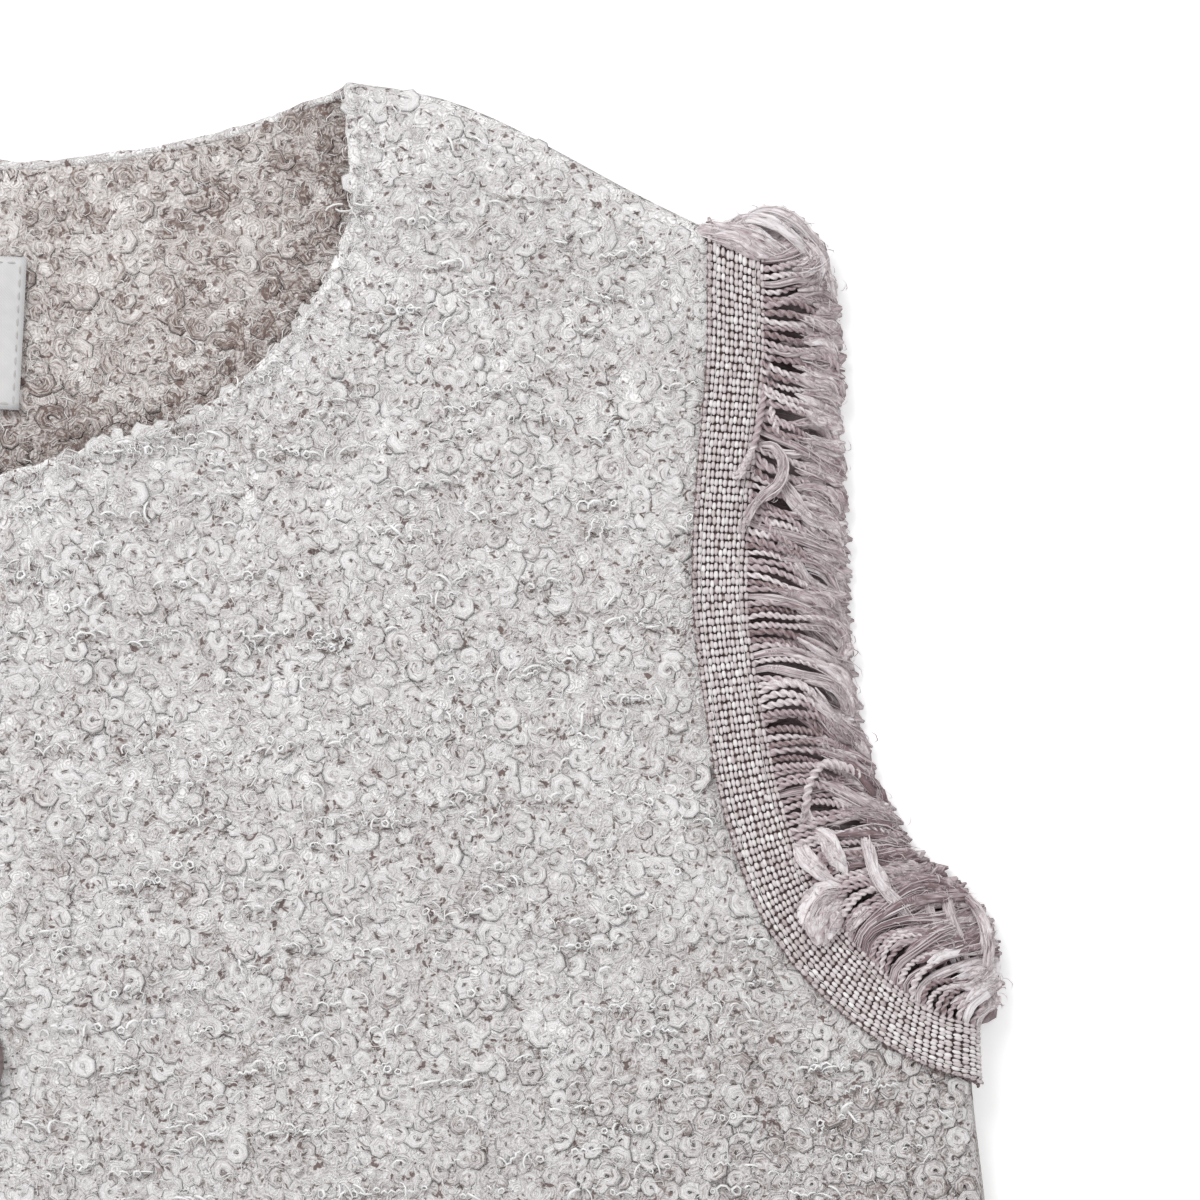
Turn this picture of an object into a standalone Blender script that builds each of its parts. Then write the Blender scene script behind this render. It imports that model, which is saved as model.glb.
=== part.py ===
# A sleeveless boucle jacket (gilet), lying flat on its back and laid out symmetrically.
#
# Frame: metres, +Z up. The surface that it lies on is z = 0, the neck points towards +Y, and the
# origin is the middle of the laid-out length and width. The wearer's left is at +X.
#
# Every panel is drawn flat first, in (p, q). Inside the outline p and q are the plan's x and y.
# Within one fold radius of the side and of the shoulder the cloth rolls over the edge, so p and q
# run on past the outline, by arc length, down to the seam halfway down the rolled edge.

import math

import bmesh
import bpy
import numpy as np
from mathutils.geometry import delaunay_2d_cdt

# ---- driving dimensions, metres ----------------------------------------------------------------
LENGTH = 0.560            # neck point to hem
HEM_RISE = 0.004          # the hem is this much shorter at the side
CLOTH = 0.003             # wall of boucle cloth
LAY_GAP = 0.0008          # between two layers lying on each other
GAP = 0.0003              # between sewn pieces
FOLD_R = 0.00635          # outer radius of the rolled side and shoulder
FOLD_REACH = 0.040        # the front sinks onto the back over this distance from a fold
PAST_CENTRE = 0.020       # each front runs this far past the centre line
LAP_FLAT = 0.024          # the upper front lies level on the lower one up to here
LAP_REACH = 0.038         # and then sinks over this distance
TURN = 0.002              # extra thickness of the fronts' turned edges
NECK_TURN = 0.0015        # extra thickness of the back's turned neck edge
TURN_REACH = 0.005        # the extra thickness sinks to nothing over this distance
BAND_W = 0.014            # armhole band
BAND_T = 0.0012
BAND_LIFT_REACH = 0.020   # the back comes down from the band beneath it over this distance
FRINGE_IN = 0.0009        # how far the fringe's solid reaches below the cloth's face at the band
FRINGE_HEIGHT = 0.0054    # the two fringes together at their tips
LABEL_W = 0.040
LABEL_H = 0.0365
LABEL_T = 0.0008
LABEL_AT = (-0.0030, -0.0597)
LABEL_TILT = -3.0         # degrees
BUTTON_R = 0.0135
BUTTON_T = 0.0038
BUTTON_FIRST = -0.2338    # top button, from the neck point
BUTTON_PITCH = 0.107
BUTTONS = 3
BUTTON_FLAT = 0.0150      # the front is level this far each side of the buttons' centre

CELL = 0.022              # spacing of the points inside a panel
FOLD_STEPS = 4            # facets in the quarter turn of a rolled edge
ARM_STEPS = 13            # facets of the band between its two rolled ends
TOP = LENGTH / 2          # the neck point's y

# ---- the cut, from the centre line and the neck point ----------------------------------------------
# x, y of the shoulder's edge, from the neck outwards
SHOULDER = [(0.094, 0.0), (0.107, -0.0017), (0.119, -0.0045), (0.131, -0.0093),
            (0.143, -0.0155), (0.1667, -0.0283), (0.194, -0.0415), (0.216, -0.052)]
# y, half width of the side's edge, from the armhole down
SIDE = [(-0.190, 0.2436), (-0.236, 0.2440), (-0.267, 0.2474), (-0.300, 0.2508),
        (-0.400, 0.2605), (-0.480, 0.2662), (-0.560, 0.2700)]
# x, y of the front's neck edge below the shoulder's roll
FRONT_NECK = [(0.0952, -0.0170), (0.0957, -0.0267), (0.0935, -0.0385), (0.0880, -0.0505),
              (0.0775, -0.0647), (0.0600, -0.0785), (0.0360, -0.0872), (0.0120, -0.0947),
              (-0.0060, -0.0978), (-PAST_CENTRE, -0.0985)]
# x, y of the back's neck edge below the shoulder's roll
BACK_NECK = [(0.0850, -0.0045), (0.0726, -0.0095), (0.0605, -0.0130), (0.0483, -0.0155),
             (0.0240, -0.0188), (0.0, -0.0198)]
# x, y of the armhole's cut edge, below the shoulder's roll and clear of the side's
ARM_OUTER = [(0.1940, -0.0500), (0.1940, -0.0680), (0.1912, -0.1000), (0.1902, -0.1240),
             (0.1933, -0.1480), (0.1983, -0.1720), (0.2060, -0.1925), (0.2185, -0.2085),
             (0.2320, -0.2205)]
# x, y of the band's inner edge
ARM_INNER = [(0.1802, -0.0480), (0.1800, -0.0680), (0.1774, -0.1000), (0.1768, -0.1240),
             (0.1797, -0.1500), (0.1845, -0.1760), (0.1935, -0.2005), (0.2080, -0.2190),
             (0.2270, -0.2325)]
# share of the armhole from the shoulder to the underarm, reach of the fringe
FRINGE = [(0.0, 0.017), (0.25, 0.019), (0.5, 0.024), (0.8, 0.0235), (1.0, 0.022)]
ARM_END_OUTER = -0.2262   # the cut edge's y at the side seam
ARM_END_INNER = -0.2402   # the band's inner edge there
SHOULDER_END_OUTER = 0.1940
SHOULDER_END_INNER = 0.1803

# ---- colours, linear ------------------------------------------------------------------------------
BOUCLE = (0.60, 0.58, 0.56)
BOUCLE_BACK = (0.53, 0.51, 0.49)
MAUVE = (0.36, 0.31, 0.31)
FRINGE_MAUVE = (0.30, 0.25, 0.25)
LABEL_WHITE = (0.80, 0.79, 0.77)
BUTTON_BROWN = (0.075, 0.045, 0.045)


# ---- curves -----------------------------------------------------------------------------------------

def smooth_line(points, per_span=10):
    """Points on one smooth curve through the given points."""
    pts = [np.array(p, dtype=float) for p in points]
    pts = [2 * pts[0] - pts[1]] + pts + [2 * pts[-1] - pts[-2]]
    line = []
    for before, a, b, after in zip(pts, pts[1:], pts[2:], pts[3:]):
        chord = np.linalg.norm(b - a)
        leave = (b - before) * chord / (np.linalg.norm(a - before) + chord)
        arrive = (after - a) * chord / (np.linalg.norm(after - b) + chord)
        for t in np.arange(per_span) / per_span:
            line.append((2 * t**3 - 3 * t**2 + 1) * a + (t**3 - 2 * t**2 + t) * leave
                        + (3 * t**2 - 2 * t**3) * b + (t**3 - t**2) * arrive)
    line.append(pts[-2])
    return np.array(line)


def along(line, distances):
    """Points at the given distances along a line of points."""
    steps = np.linalg.norm(np.diff(line, axis=0), axis=1)
    run = np.concatenate([[0.0], np.cumsum(steps)])
    return np.stack([np.interp(distances, run, line[:, 0]), np.interp(distances, run, line[:, 1])], 1)


def length_of(line):
    return float(np.linalg.norm(np.diff(line, axis=0), axis=1).sum())


def even(line, spacing):
    """The line's points again, evenly spaced."""
    total = length_of(line)
    return along(line, np.linspace(0.0, total, max(2, round(total / spacing) + 1)))


def distance(line, p, q):
    """Distance from a point to a line of points."""
    a, b = line[:-1], line[1:]
    ab = b - a
    t = np.clip(((np.array([p, q]) - a) * ab).sum(1) / (ab**2).sum(1), 0.0, 1.0)
    return float(np.linalg.norm(a + ab * t[:, None] - [p, q], axis=1).min())


def inside(loop, p, q):
    """Whether a point is inside a closed loop of points."""
    hits = 0
    for (ax, ay), (bx, by) in zip(loop, np.roll(loop, -1, axis=0)):
        if (ay > q) != (by > q) and p < ax + (q - ay) / (by - ay) * (bx - ax):
            hits += 1
    return hits % 2 == 1


def fade(d, reach):
    """1 up to d = 0, falling smoothly to 0 at d = reach."""
    t = min(max(d / reach, 0.0), 1.0)
    return 0.5 * (1 + math.cos(math.pi * t))


SHOULDER_LINE = smooth_line(SHOULDER)
SIDE_LINE = smooth_line(SIDE)


def shoulder_y(x):
    return float(np.interp(abs(x), SHOULDER_LINE[:, 0], SHOULDER_LINE[:, 1]))


def side_x(y):
    return float(np.interp(-y, -SIDE_LINE[:, 0], SIDE_LINE[:, 1]))


def shoulder_seam(p):
    return shoulder_y(p) + FOLD_R * (math.pi / 2 - 1)


def side_seam(q):
    return side_x(q) + FOLD_R * (math.pi / 2 - 1)


# ---- the armhole, drawn flat --------------------------------------------------------------------------

def armhole_line(points, shoulder_end, side_end):
    """An armhole curve from the shoulder seam to the side seam."""
    top = (shoulder_end, shoulder_seam(shoulder_end))
    bottom = (side_seam(side_end), side_end)
    return smooth_line([top] + points + [bottom])


def armhole_stations(line):
    """Its points: close together in the two rolled ends, evenly spaced between them."""
    turn = FOLD_R * math.pi / 2
    total = length_of(line)
    roll = np.linspace(0.0, turn, FOLD_STEPS + 1)
    middle = np.linspace(turn, total - turn, ARM_STEPS + 1)[1:-1]
    return along(line, np.concatenate([roll, middle, total - roll[::-1]]))


OUTER_LINE = armhole_line(ARM_OUTER, SHOULDER_END_OUTER, ARM_END_OUTER)
OUTER = armhole_stations(OUTER_LINE)
INNER = armhole_stations(armhole_line(ARM_INNER, SHOULDER_END_INNER, ARM_END_INNER))


# ---- where a flat point lies ---------------------------------------------------------------------------

def base(p, q):
    """Height of the underside: the back rises over the band that passes beneath it."""
    return (BAND_T + GAP) * fade(distance(OUTER_LINE, abs(p), q) - BAND_W - GAP, BAND_LIFT_REACH)


def clear_of_shoulder(p, q):
    """0 on the rolled shoulder, rising to 1 just below it: the seam keeps the plain wall."""
    return 1 - fade(shoulder_y(p) - FOLD_R - q, 2 * TURN_REACH)


def front_level(p, q, lapped):
    """Height of a front's face above the underside. p is positive towards its own side."""
    lying = 2 * CLOTH + LAY_GAP
    at_shoulder = fade(shoulder_y(p) - FOLD_R - q, FOLD_REACH)
    at_side = fade(side_x(q) - FOLD_R - p, FOLD_REACH)
    raised = 1 - (1 - at_shoulder) * (1 - at_side)
    level = lying + (2 * FOLD_R - lying) * raised
    if lapped:
        level += (CLOTH + TURN + LAY_GAP) * fade(p - LAP_FLAT, LAP_REACH)
    return level


def place(p, q, out, face, lapped=False, seam=GAP):
    """The point (p, q) of a panel, moved out from its face by out. face is "front" or "back"."""
    sign = -1.0 if p < 0 and face == "back" else 1.0
    p_out = abs(p) if face == "back" else p
    over_side = max(0.0, p_out - side_x(q) + FOLD_R) / FOLD_R
    over_shoulder = max(0.0, q - shoulder_y(p_out) + FOLD_R) / FOLD_R
    if over_side:
        x, y = p_out - over_side * FOLD_R + (FOLD_R + out) * math.sin(over_side), q
    elif over_shoulder:
        x, y = p_out, q - over_shoulder * FOLD_R + (FOLD_R + out) * math.sin(over_shoulder)
    else:
        x, y = p_out, q
    angle = over_side or over_shoulder
    low = base(p_out, q)
    if angle:
        rise = max((FOLD_R + out) * math.cos(angle), seam / 2)
        z = low + FOLD_R + rise if face == "front" else low + FOLD_R - rise
    elif face == "front":
        z = low + front_level(p_out, q, lapped) + out
    else:
        z = low - out
    return (sign * x, y + TOP, z)


# ---- building ----------------------------------------------------------------------------------------

def material(name, colour, roughness):
    mat = bpy.data.materials.new(name)
    mat.use_nodes = True
    shader = mat.node_tree.nodes["Principled BSDF"]
    shader.inputs["Base Color"].default_value = (*colour, 1.0)
    shader.inputs["Roughness"].default_value = roughness
    shader.inputs["Metallic"].default_value = 0.0
    return mat


def add_object(name, bm, mat):
    bmesh.ops.recalc_face_normals(bm, faces=bm.faces)
    bmesh.ops.triangulate(bm, faces=bm.faces)
    mesh = bpy.data.meshes.new(name)
    bm.to_mesh(mesh)
    bm.free()
    mesh.materials.append(mat)
    obj = bpy.data.objects.new(name, mesh)
    bpy.context.scene.collection.objects.link(obj)
    return obj


def flat_panel(loop, lines, points):
    """A triangulated flat sheet in (p, q), bounded by loop and holding the given lines and points."""
    verts = [tuple(v) for v in loop]
    edges = []
    for line in lines:
        ids = []
        for v in line:
            near = [i for i, w in enumerate(verts) if abs(w[0] - v[0]) + abs(w[1] - v[1]) < 1e-7]
            ids.append(near[0] if near else len(verts))
            if not near:
                verts.append(tuple(v))
        edges += list(zip(ids, ids[1:]))
    verts += [tuple(v) for v in points]
    coords, _, faces, *_ = delaunay_2d_cdt(verts, edges, [list(range(len(loop)))], 1, 1e-7)
    bm = bmesh.new()
    made = [bm.verts.new((v.x, v.y, 0.0)) for v in coords]
    for face in faces:
        bm.faces.new([made[i] for i in face])
    bmesh.ops.delete(bm, geom=[v for v in bm.verts if not v.link_faces], context="VERTS")
    return bm


def cell_points(loop, keep_off):
    """A staggered grid of points inside a loop, clear of its edge and of the other lines."""
    low, high = loop.min(0), loop.max(0)
    closed = np.vstack([loop, loop[:1]])
    row_step = CELL * math.sqrt(0.75)
    found = []
    for row in range(int((high[1] - low[1]) / row_step) + 1):
        q = low[1] + (row + 0.5) * row_step
        for column in range(int((high[0] - low[0]) / CELL) + 2):
            p = low[0] + (column + 0.25 + 0.5 * (row % 2)) * CELL
            clear = min(distance(line, p, q) for line in [closed] + keep_off)
            if inside(loop, p, q) and clear > 0.5 * CELL:
                found.append((p, q))
    return found


def roll_rows(sign=1.0):
    """Points across the rolled shoulder and side, one row for each facet."""
    rows = []
    for step in range(FOLD_STEPS):
        over = FOLD_R * (math.pi / 2 * step / FOLD_STEPS - 1)
        rows.append([(sign * x, shoulder_y(x) + over) for x in np.linspace(0.101, 0.173, 7)])
        ys = np.linspace(-0.253, -LENGTH + HEM_RISE + 0.014, 15)
        rows.append([(sign * (side_x(y) + over), y) for y in ys])
    return rows


def inset_row(line, by, towards):
    """A row of points inside a panel, beside one of its finished edges."""
    step = np.gradient(line, axis=0)
    normal = np.stack([-step[:, 1], step[:, 0]], 1) / np.linalg.norm(step, axis=1)[:, None]
    if (normal * (np.array(towards) - line)).sum() < 0:
        normal = -normal
    return (line + by * normal)[1:-1]


def thicken(bm, face, lapped, turned_edge, turn):
    """Give a flat panel its wall: each point goes to the cloth's face, its copy to the other side."""
    outer = list(bm.verts)
    made = bmesh.ops.extrude_face_region(bm, geom=bm.faces[:])["geom"]
    inner = [g for g in made if isinstance(g, bmesh.types.BMVert)]
    for v in inner:
        p, q = v.co.x, v.co.y
        v.co = place(p, q, -CLOTH, face, lapped)
    for v in outer:
        p, q = v.co.x, v.co.y
        extra = turn * fade(distance(turned_edge, p, q), TURN_REACH) * clear_of_shoulder(p, q)
        v.co = place(p, q, extra, face, lapped)


def front_panel(name, sign, lapped, mat):
    """One front, drawn at +X and mirrored to its side."""
    neck_top = [(0.0940, shoulder_seam(0.0940)), (0.0944, shoulder_y(0.0944) - FOLD_R)]
    neck = even(smooth_line(neck_top + FRONT_NECK), 0.011)
    hem_end = -LENGTH + HEM_RISE
    edge = even(np.array([(-PAST_CENTRE, FRONT_NECK[-1][1]), (-PAST_CENTRE, -LENGTH)]), CELL)
    middle = (0.45 * side_x(-LENGTH), -LENGTH + 0.1 * HEM_RISE)
    hem = even(smooth_line([(-PAST_CENTRE, -LENGTH), middle, (side_seam(hem_end), hem_end)]), CELL)
    side_ys = np.linspace(hem_end, ARM_END_INNER, 15)
    side = [(side_seam(y), y) for y in side_ys]
    shoulder = [(x, shoulder_seam(x)) for x in np.linspace(SHOULDER_END_INNER, 0.0940, 8)]
    loop = np.vstack([edge[:-1], hem[:-1], side, OUTER[::-1], shoulder[:-1], neck[:-1]])

    rows = roll_rows()
    ys = np.arange(FRONT_NECK[-1][1] - 0.016, -LENGTH + 0.010, -CELL)
    rows += [[(x, y) for y in ys] for x in (-BUTTON_FLAT, 0.0, BUTTON_FLAT, BUTTON_FLAT + 0.010)]
    beside_neck = inset_row(neck, TURN_REACH, (0.2, -0.2))
    rows.append([(p, q) for p, q in beside_neck if p > BUTTON_FLAT + 0.016 and q < -0.014])
    rows = [np.array(row) for row in rows]
    bm = flat_panel(loop, [INNER], list(np.vstack(rows)) + cell_points(loop, rows + [INNER]))
    thicken(bm, "front", lapped, np.vstack([neck, edge[1:]]), TURN)
    if sign < 0:
        bmesh.ops.scale(bm, vec=(-1, 1, 1), verts=bm.verts)
    return add_object(name, bm, mat)


def back_panel(name, mat):
    """The back, whole: its right half is drawn and the left half follows."""
    neck_top = [(0.0940, shoulder_seam(0.0940)), (0.0925, shoulder_y(0.094) - 0.0010)]
    neck = even(smooth_line(neck_top + BACK_NECK), 0.011)
    hem_end = -LENGTH + HEM_RISE
    middle = (0.45 * side_x(-LENGTH), -LENGTH + 0.1 * HEM_RISE)
    hem = even(smooth_line([(0.0, -LENGTH), middle, (side_seam(hem_end), hem_end)]), CELL)
    side = [(side_seam(y), y) for y in np.linspace(hem_end, ARM_END_INNER, 15)]
    shoulder = [(x, shoulder_seam(x)) for x in np.linspace(SHOULDER_END_INNER, 0.0940, 8)]
    half = np.vstack([hem[:-1], side, OUTER[::-1], shoulder[:-1], neck])
    loop = np.vstack([half, (half[::-1] * [-1, 1])[1:-1]])

    rows = roll_rows(1.0) + roll_rows(-1.0)
    whole_neck = np.vstack([neck, (neck[::-1] * [-1, 1])[1:]])
    beside_neck = inset_row(whole_neck, TURN_REACH, (0.0, -0.3))
    rows.append([(p, q) for p, q in beside_neck if abs(p) < 0.078])
    rows = [np.array(row) for row in rows]
    inner = [INNER, INNER * [-1, 1]]
    bm = flat_panel(loop, inner, list(np.vstack(rows)) + cell_points(loop, rows + inner))
    thicken_back(bm, whole_neck)
    return add_object(name, bm, mat)


def thicken_back(bm, neck):
    """The back's wall: its neck edge is turned to the inner side, away from the surface."""
    outer = list(bm.verts)
    made = bmesh.ops.extrude_face_region(bm, geom=bm.faces[:])["geom"]
    inner = [g for g in made if isinstance(g, bmesh.types.BMVert)]
    for v in inner:
        p, q = v.co.x, v.co.y
        extra = NECK_TURN * fade(distance(neck, p, q), TURN_REACH) * clear_of_shoulder(p, q)
        v.co = place(p, q, -CLOTH - extra, "back")
    for v in outer:
        v.co = place(v.co.x, v.co.y, 0.0, "back")


def ring(sections):
    """A closed solid through rings of points, the last joined to the first."""
    bm = bmesh.new()
    made = [[bm.verts.new(v) for v in section] for section in sections]
    for here, ahead in zip(made, made[1:] + made[:1]):
        for i, v in enumerate(here):
            j = (i + 1) % len(here)
            bm.faces.new([v, here[j], ahead[j], ahead[i]])
    return bm


def around_armhole(section):
    """Sections all round an armhole: up the front from the underarm, then down the back."""
    count = len(OUTER)
    front = [section(i, "front") for i in reversed(range(count))]
    back = [section(i, "back") for i in range(1, count - 1)]
    return front + back


def band(name, sign, mat):
    """The woven band, on the outer face of both panels, all round the armhole."""
    def section(i, face):
        (po, qo), (pi, qi) = OUTER[i], INNER[i]
        high = GAP + BAND_T
        return [place(po, qo, GAP, face, seam=0), place(po, qo, high, face, seam=0),
                place(pi, qi, high, face, seam=0), place(pi, qi, GAP, face, seam=0)]
    bm = ring(around_armhole(section))
    bmesh.ops.scale(bm, vec=(sign, 1, 1), verts=bm.verts)
    return add_object(name, bm, mat)


def fringe_tips():
    """Where the fringe ends, for each point of the cut edge: along the folds at both ends."""
    tips = []
    step = np.gradient(OUTER, axis=0)
    run = np.concatenate([[0.0], np.cumsum(np.linalg.norm(np.diff(OUTER, axis=0), axis=1))])
    turn = FOLD_R * math.pi / 2
    for i, (p, q) in enumerate(OUTER):
        reach = float(np.interp(run[i] / run[-1], *zip(*FRINGE)))
        normal = np.array([-step[i][1], step[i][0]]) / np.linalg.norm(step[i])
        slope = np.array([math.cos(0.45), -math.sin(0.45)])
        at_shoulder = fade(run[i] - turn, 0.045)
        at_side = fade(run[-1] - run[i] - turn, 0.030)
        way = normal * (1 - at_shoulder) * (1 - at_side)
        way = way + slope * at_shoulder + np.array([0.0, 1.0]) * at_side
        tip = np.array([p, q]) + reach * way / np.linalg.norm(way)
        if run[i] <= turn + GAP:
            tip[1] = q + shoulder_y(tip[0]) - shoulder_y(p)
        if run[-1] - run[i] <= turn + GAP:
            tip[0] = p + side_x(tip[1]) - side_x(q)
        tips.append(tip)
    return tips


def fringe(name, sign, mat):
    """The plain form of the fringe's reach, sinking from the band to the tips."""
    tips = fringe_tips()

    def section(i, face):
        root = OUTER[i] + (tips[i] - OUTER[i]) * GAP / np.linalg.norm(tips[i] - OUTER[i])
        high = GAP + BAND_T
        near = [place(*root, out, face, seam=0) for out in (-FRINGE_IN, high)]
        far = [place(*OUTER[i], out, face, seam=0) for out in (high, -FRINGE_IN)]
        ends = [place(*tips[i], out, face, seam=0) for out in (high, -FRINGE_IN)]
        whole = 2 * (BAND_T + GAP) + front_level(*OUTER[i], False)
        squeeze = FRINGE_HEIGHT / whole
        low = [(x, y, z * squeeze) for (x, y, _), (_, _, z) in zip(ends, far)]
        return near + low
    bm = ring(around_armhole(section))
    bmesh.ops.scale(bm, vec=(sign, 1, 1), verts=bm.verts)
    return add_object(name, bm, mat)


def label(name, mat):
    """A small bare label, lying on the inside of the back."""
    bm = bmesh.new()
    bmesh.ops.create_cube(bm, size=1.0)
    bmesh.ops.scale(bm, vec=(LABEL_W, LABEL_H, LABEL_T), verts=bm.verts)
    obj = add_object(name, bm, mat)
    obj.location = (LABEL_AT[0], LABEL_AT[1] + TOP, CLOTH + GAP + LABEL_T / 2)
    obj.rotation_euler = (0.0, 0.0, math.radians(LABEL_TILT))
    return obj


def button(name, y, mat):
    """A round shank button: a dished top inside a rounded rim."""
    seat = 2 * CLOTH + LAY_GAP + CLOTH + TURN + LAY_GAP + GAP
    shank = 0.0040
    profile = [(0.0, 0.0), (shank, 0.0), (shank, 0.0012), (BUTTON_R - 0.0016, 0.0012),
               (BUTTON_R, 0.0024), (BUTTON_R - 0.0004, 0.0034), (BUTTON_R - 0.0018, BUTTON_T),
               (BUTTON_R - 0.0034, 0.0032), (0.0, 0.0028)]
    bm = bmesh.new()
    verts = [bm.verts.new((r, 0.0, z)) for r, z in profile]
    edges = [bm.edges.new(pair) for pair in zip(verts, verts[1:])]
    bmesh.ops.spin(bm, geom=verts + edges, cent=(0, 0, 0), axis=(0, 0, 1),
                   angle=2 * math.pi, steps=24, use_merge=True)
    bmesh.ops.remove_doubles(bm, verts=bm.verts, dist=1e-6)
    obj = add_object(name, bm, mat)
    obj.location = (0.0, y + TOP, seat)
    obj.data.shade_smooth()
    obj.data.set_sharp_from_angle(angle=math.radians(40))
    return obj


def main():
    for obj in list(bpy.data.objects):
        bpy.data.objects.remove(obj)
    boucle = material("boucle", BOUCLE, 0.95)
    boucle_back = material("boucle_back", BOUCLE_BACK, 0.95)
    mauve = material("mauve_band", MAUVE, 0.85)
    mauve_fringe = material("mauve_fringe", FRINGE_MAUVE, 0.9)
    white = material("label_satin", LABEL_WHITE, 0.6)
    brown = material("button_brown", BUTTON_BROWN, 0.3)

    back_panel("back", boucle_back)
    front_panel("front_left", 1, True, boucle)
    front_panel("front_right", -1, False, boucle)
    for side, sign in (("left", 1), ("right", -1)):
        band("armhole_band_" + side, sign, mauve)
        fringe("fringe_" + side, sign, mauve_fringe)
    label("label", white)
    for number in range(BUTTONS):
        button(f"button_{number + 1}", BUTTON_FIRST - number * BUTTON_PITCH, brown)


main()
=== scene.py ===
import math

import bmesh
import bpy
import numpy as np
from mathutils import Matrix, Vector


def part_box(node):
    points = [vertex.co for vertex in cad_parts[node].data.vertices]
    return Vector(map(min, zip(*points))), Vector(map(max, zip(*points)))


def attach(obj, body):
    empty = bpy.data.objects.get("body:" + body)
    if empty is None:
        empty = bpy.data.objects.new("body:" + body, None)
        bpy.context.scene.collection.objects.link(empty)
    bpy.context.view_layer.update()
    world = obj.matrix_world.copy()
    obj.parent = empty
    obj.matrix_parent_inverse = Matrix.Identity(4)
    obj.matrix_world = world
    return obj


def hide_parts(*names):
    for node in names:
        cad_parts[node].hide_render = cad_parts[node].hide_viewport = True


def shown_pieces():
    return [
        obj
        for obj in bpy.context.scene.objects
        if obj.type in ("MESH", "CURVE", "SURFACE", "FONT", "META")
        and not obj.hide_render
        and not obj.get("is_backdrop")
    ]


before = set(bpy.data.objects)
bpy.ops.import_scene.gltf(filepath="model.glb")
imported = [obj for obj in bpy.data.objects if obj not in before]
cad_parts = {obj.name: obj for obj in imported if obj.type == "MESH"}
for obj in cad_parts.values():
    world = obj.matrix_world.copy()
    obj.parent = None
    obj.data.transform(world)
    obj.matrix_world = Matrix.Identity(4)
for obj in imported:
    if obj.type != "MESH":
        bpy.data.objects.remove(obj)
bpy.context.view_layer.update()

rng = np.random.default_rng(11)
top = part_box("front_left")[1].y        # height of the neck point on the laid-out gilet
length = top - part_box("front_left")[0].y

# The gilet's own sizes. Every panel is drawn flat in (p, q), from the centre line and the neck
# point, and runs on past the outline round the rolled side and shoulder to its seam.
gilet = {
    "cloth": 0.003,
    "layGap": 0.0008,          # between two layers lying on each other
    "sewGap": 0.0003,
    "rollRadius": 0.00635,     # outer radius of the rolled side and shoulder
    "rollReach": 0.040,        # the front sinks onto the back over this distance
    "pastCentre": 0.020,
    "lapFlat": 0.024,          # the upper front lies level on the lower one up to here
    "lapReach": 0.038,
    "turn": 0.002,             # extra thickness of the fronts' turned edges
    "hemRise": 0.004,
    "hemMiddle": (0.1215, 0.0036),       # a point between the hem's ends, and how far below its side end
    "cuts": {"front": (0.0062, 0.0024), "back": (0.0080, 0.0034)},     # coarse and fine steps
    "panelInset": 0.0012,      # the ground stops this far inside the outline
    "bandWide": 0.014,
    "bandThick": 0.0012,
    "bandReach": 0.020,        # the back comes down from the band under it over this distance
    "shoulder": [(0.094, 0.0), (0.107, -0.0017), (0.119, -0.0045), (0.131, -0.0093),
                 (0.143, -0.0155), (0.1667, -0.0283), (0.194, -0.0415), (0.216, -0.052)],
    "side": [(0.2436, -0.190), (0.2440, -0.236), (0.2474, -0.267), (0.2508, -0.300),
             (0.2605, -0.400), (0.2662, -0.480), (0.2700, -0.560)],
    "frontNeck": [(0.0952, -0.0170), (0.0957, -0.0267), (0.0935, -0.0385), (0.0880, -0.0505),
                  (0.0775, -0.0647), (0.0600, -0.0785), (0.0360, -0.0872), (0.0120, -0.0947),
                  (-0.0060, -0.0978), (-0.020, -0.0985)],
    "backNeck": [(0.0850, -0.0045), (0.0726, -0.0095), (0.0605, -0.0130), (0.0483, -0.0155),
                 (0.0240, -0.0188), (0.0, -0.0198)],
    "armOuter": [(0.1940, -0.0500), (0.1940, -0.0680), (0.1912, -0.1000), (0.1902, -0.1240),
                 (0.1933, -0.1480), (0.1983, -0.1720), (0.2060, -0.1925), (0.2185, -0.2085),
                 (0.2320, -0.2205)],
    "armInner": [(0.1802, -0.0480), (0.1800, -0.0680), (0.1774, -0.1000), (0.1768, -0.1240),
                 (0.1797, -0.1500), (0.1845, -0.1760), (0.1935, -0.2005), (0.2080, -0.2190),
                 (0.2270, -0.2325)],
    "armOuterEnds": (0.1940, -0.2262),   # x at the shoulder seam, y at the side seam
    "armInnerEnds": (0.1803, -0.2402),
}
radius = gilet["rollRadius"]
quarter = radius * math.pi / 2


def smoothLine(points, perSpan=10):
    pts = [np.array(p, dtype=float) for p in points]
    pts = [2 * pts[0] - pts[1]] + pts + [2 * pts[-1] - pts[-2]]
    line = []
    for before, a, b, after in zip(pts, pts[1:], pts[2:], pts[3:]):
        chord = np.linalg.norm(b - a)
        leave = (b - before) * chord / (np.linalg.norm(a - before) + chord)
        arrive = (after - a) * chord / (np.linalg.norm(after - b) + chord)
        for t in np.arange(perSpan) / perSpan:
            line.append((2 * t**3 - 3 * t**2 + 1) * a + (t**3 - 2 * t**2 + t) * leave
                        + (3 * t**2 - 2 * t**3) * b + (t**3 - t**2) * arrive)
    line.append(pts[-2])
    return np.array(line)


def runOf(line):
    steps = np.linalg.norm(np.diff(line, axis=0), axis=1)
    return np.concatenate([[0.0], np.cumsum(steps)])


def along(line, distances):
    run = runOf(line)
    return np.stack([np.interp(distances, run, line[:, i]) for i in range(line.shape[1])], 1)


def evenly(line, spacing):
    total = runOf(line)[-1]
    return along(line, np.linspace(0.0, total, max(2, round(total / spacing) + 1)))


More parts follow.
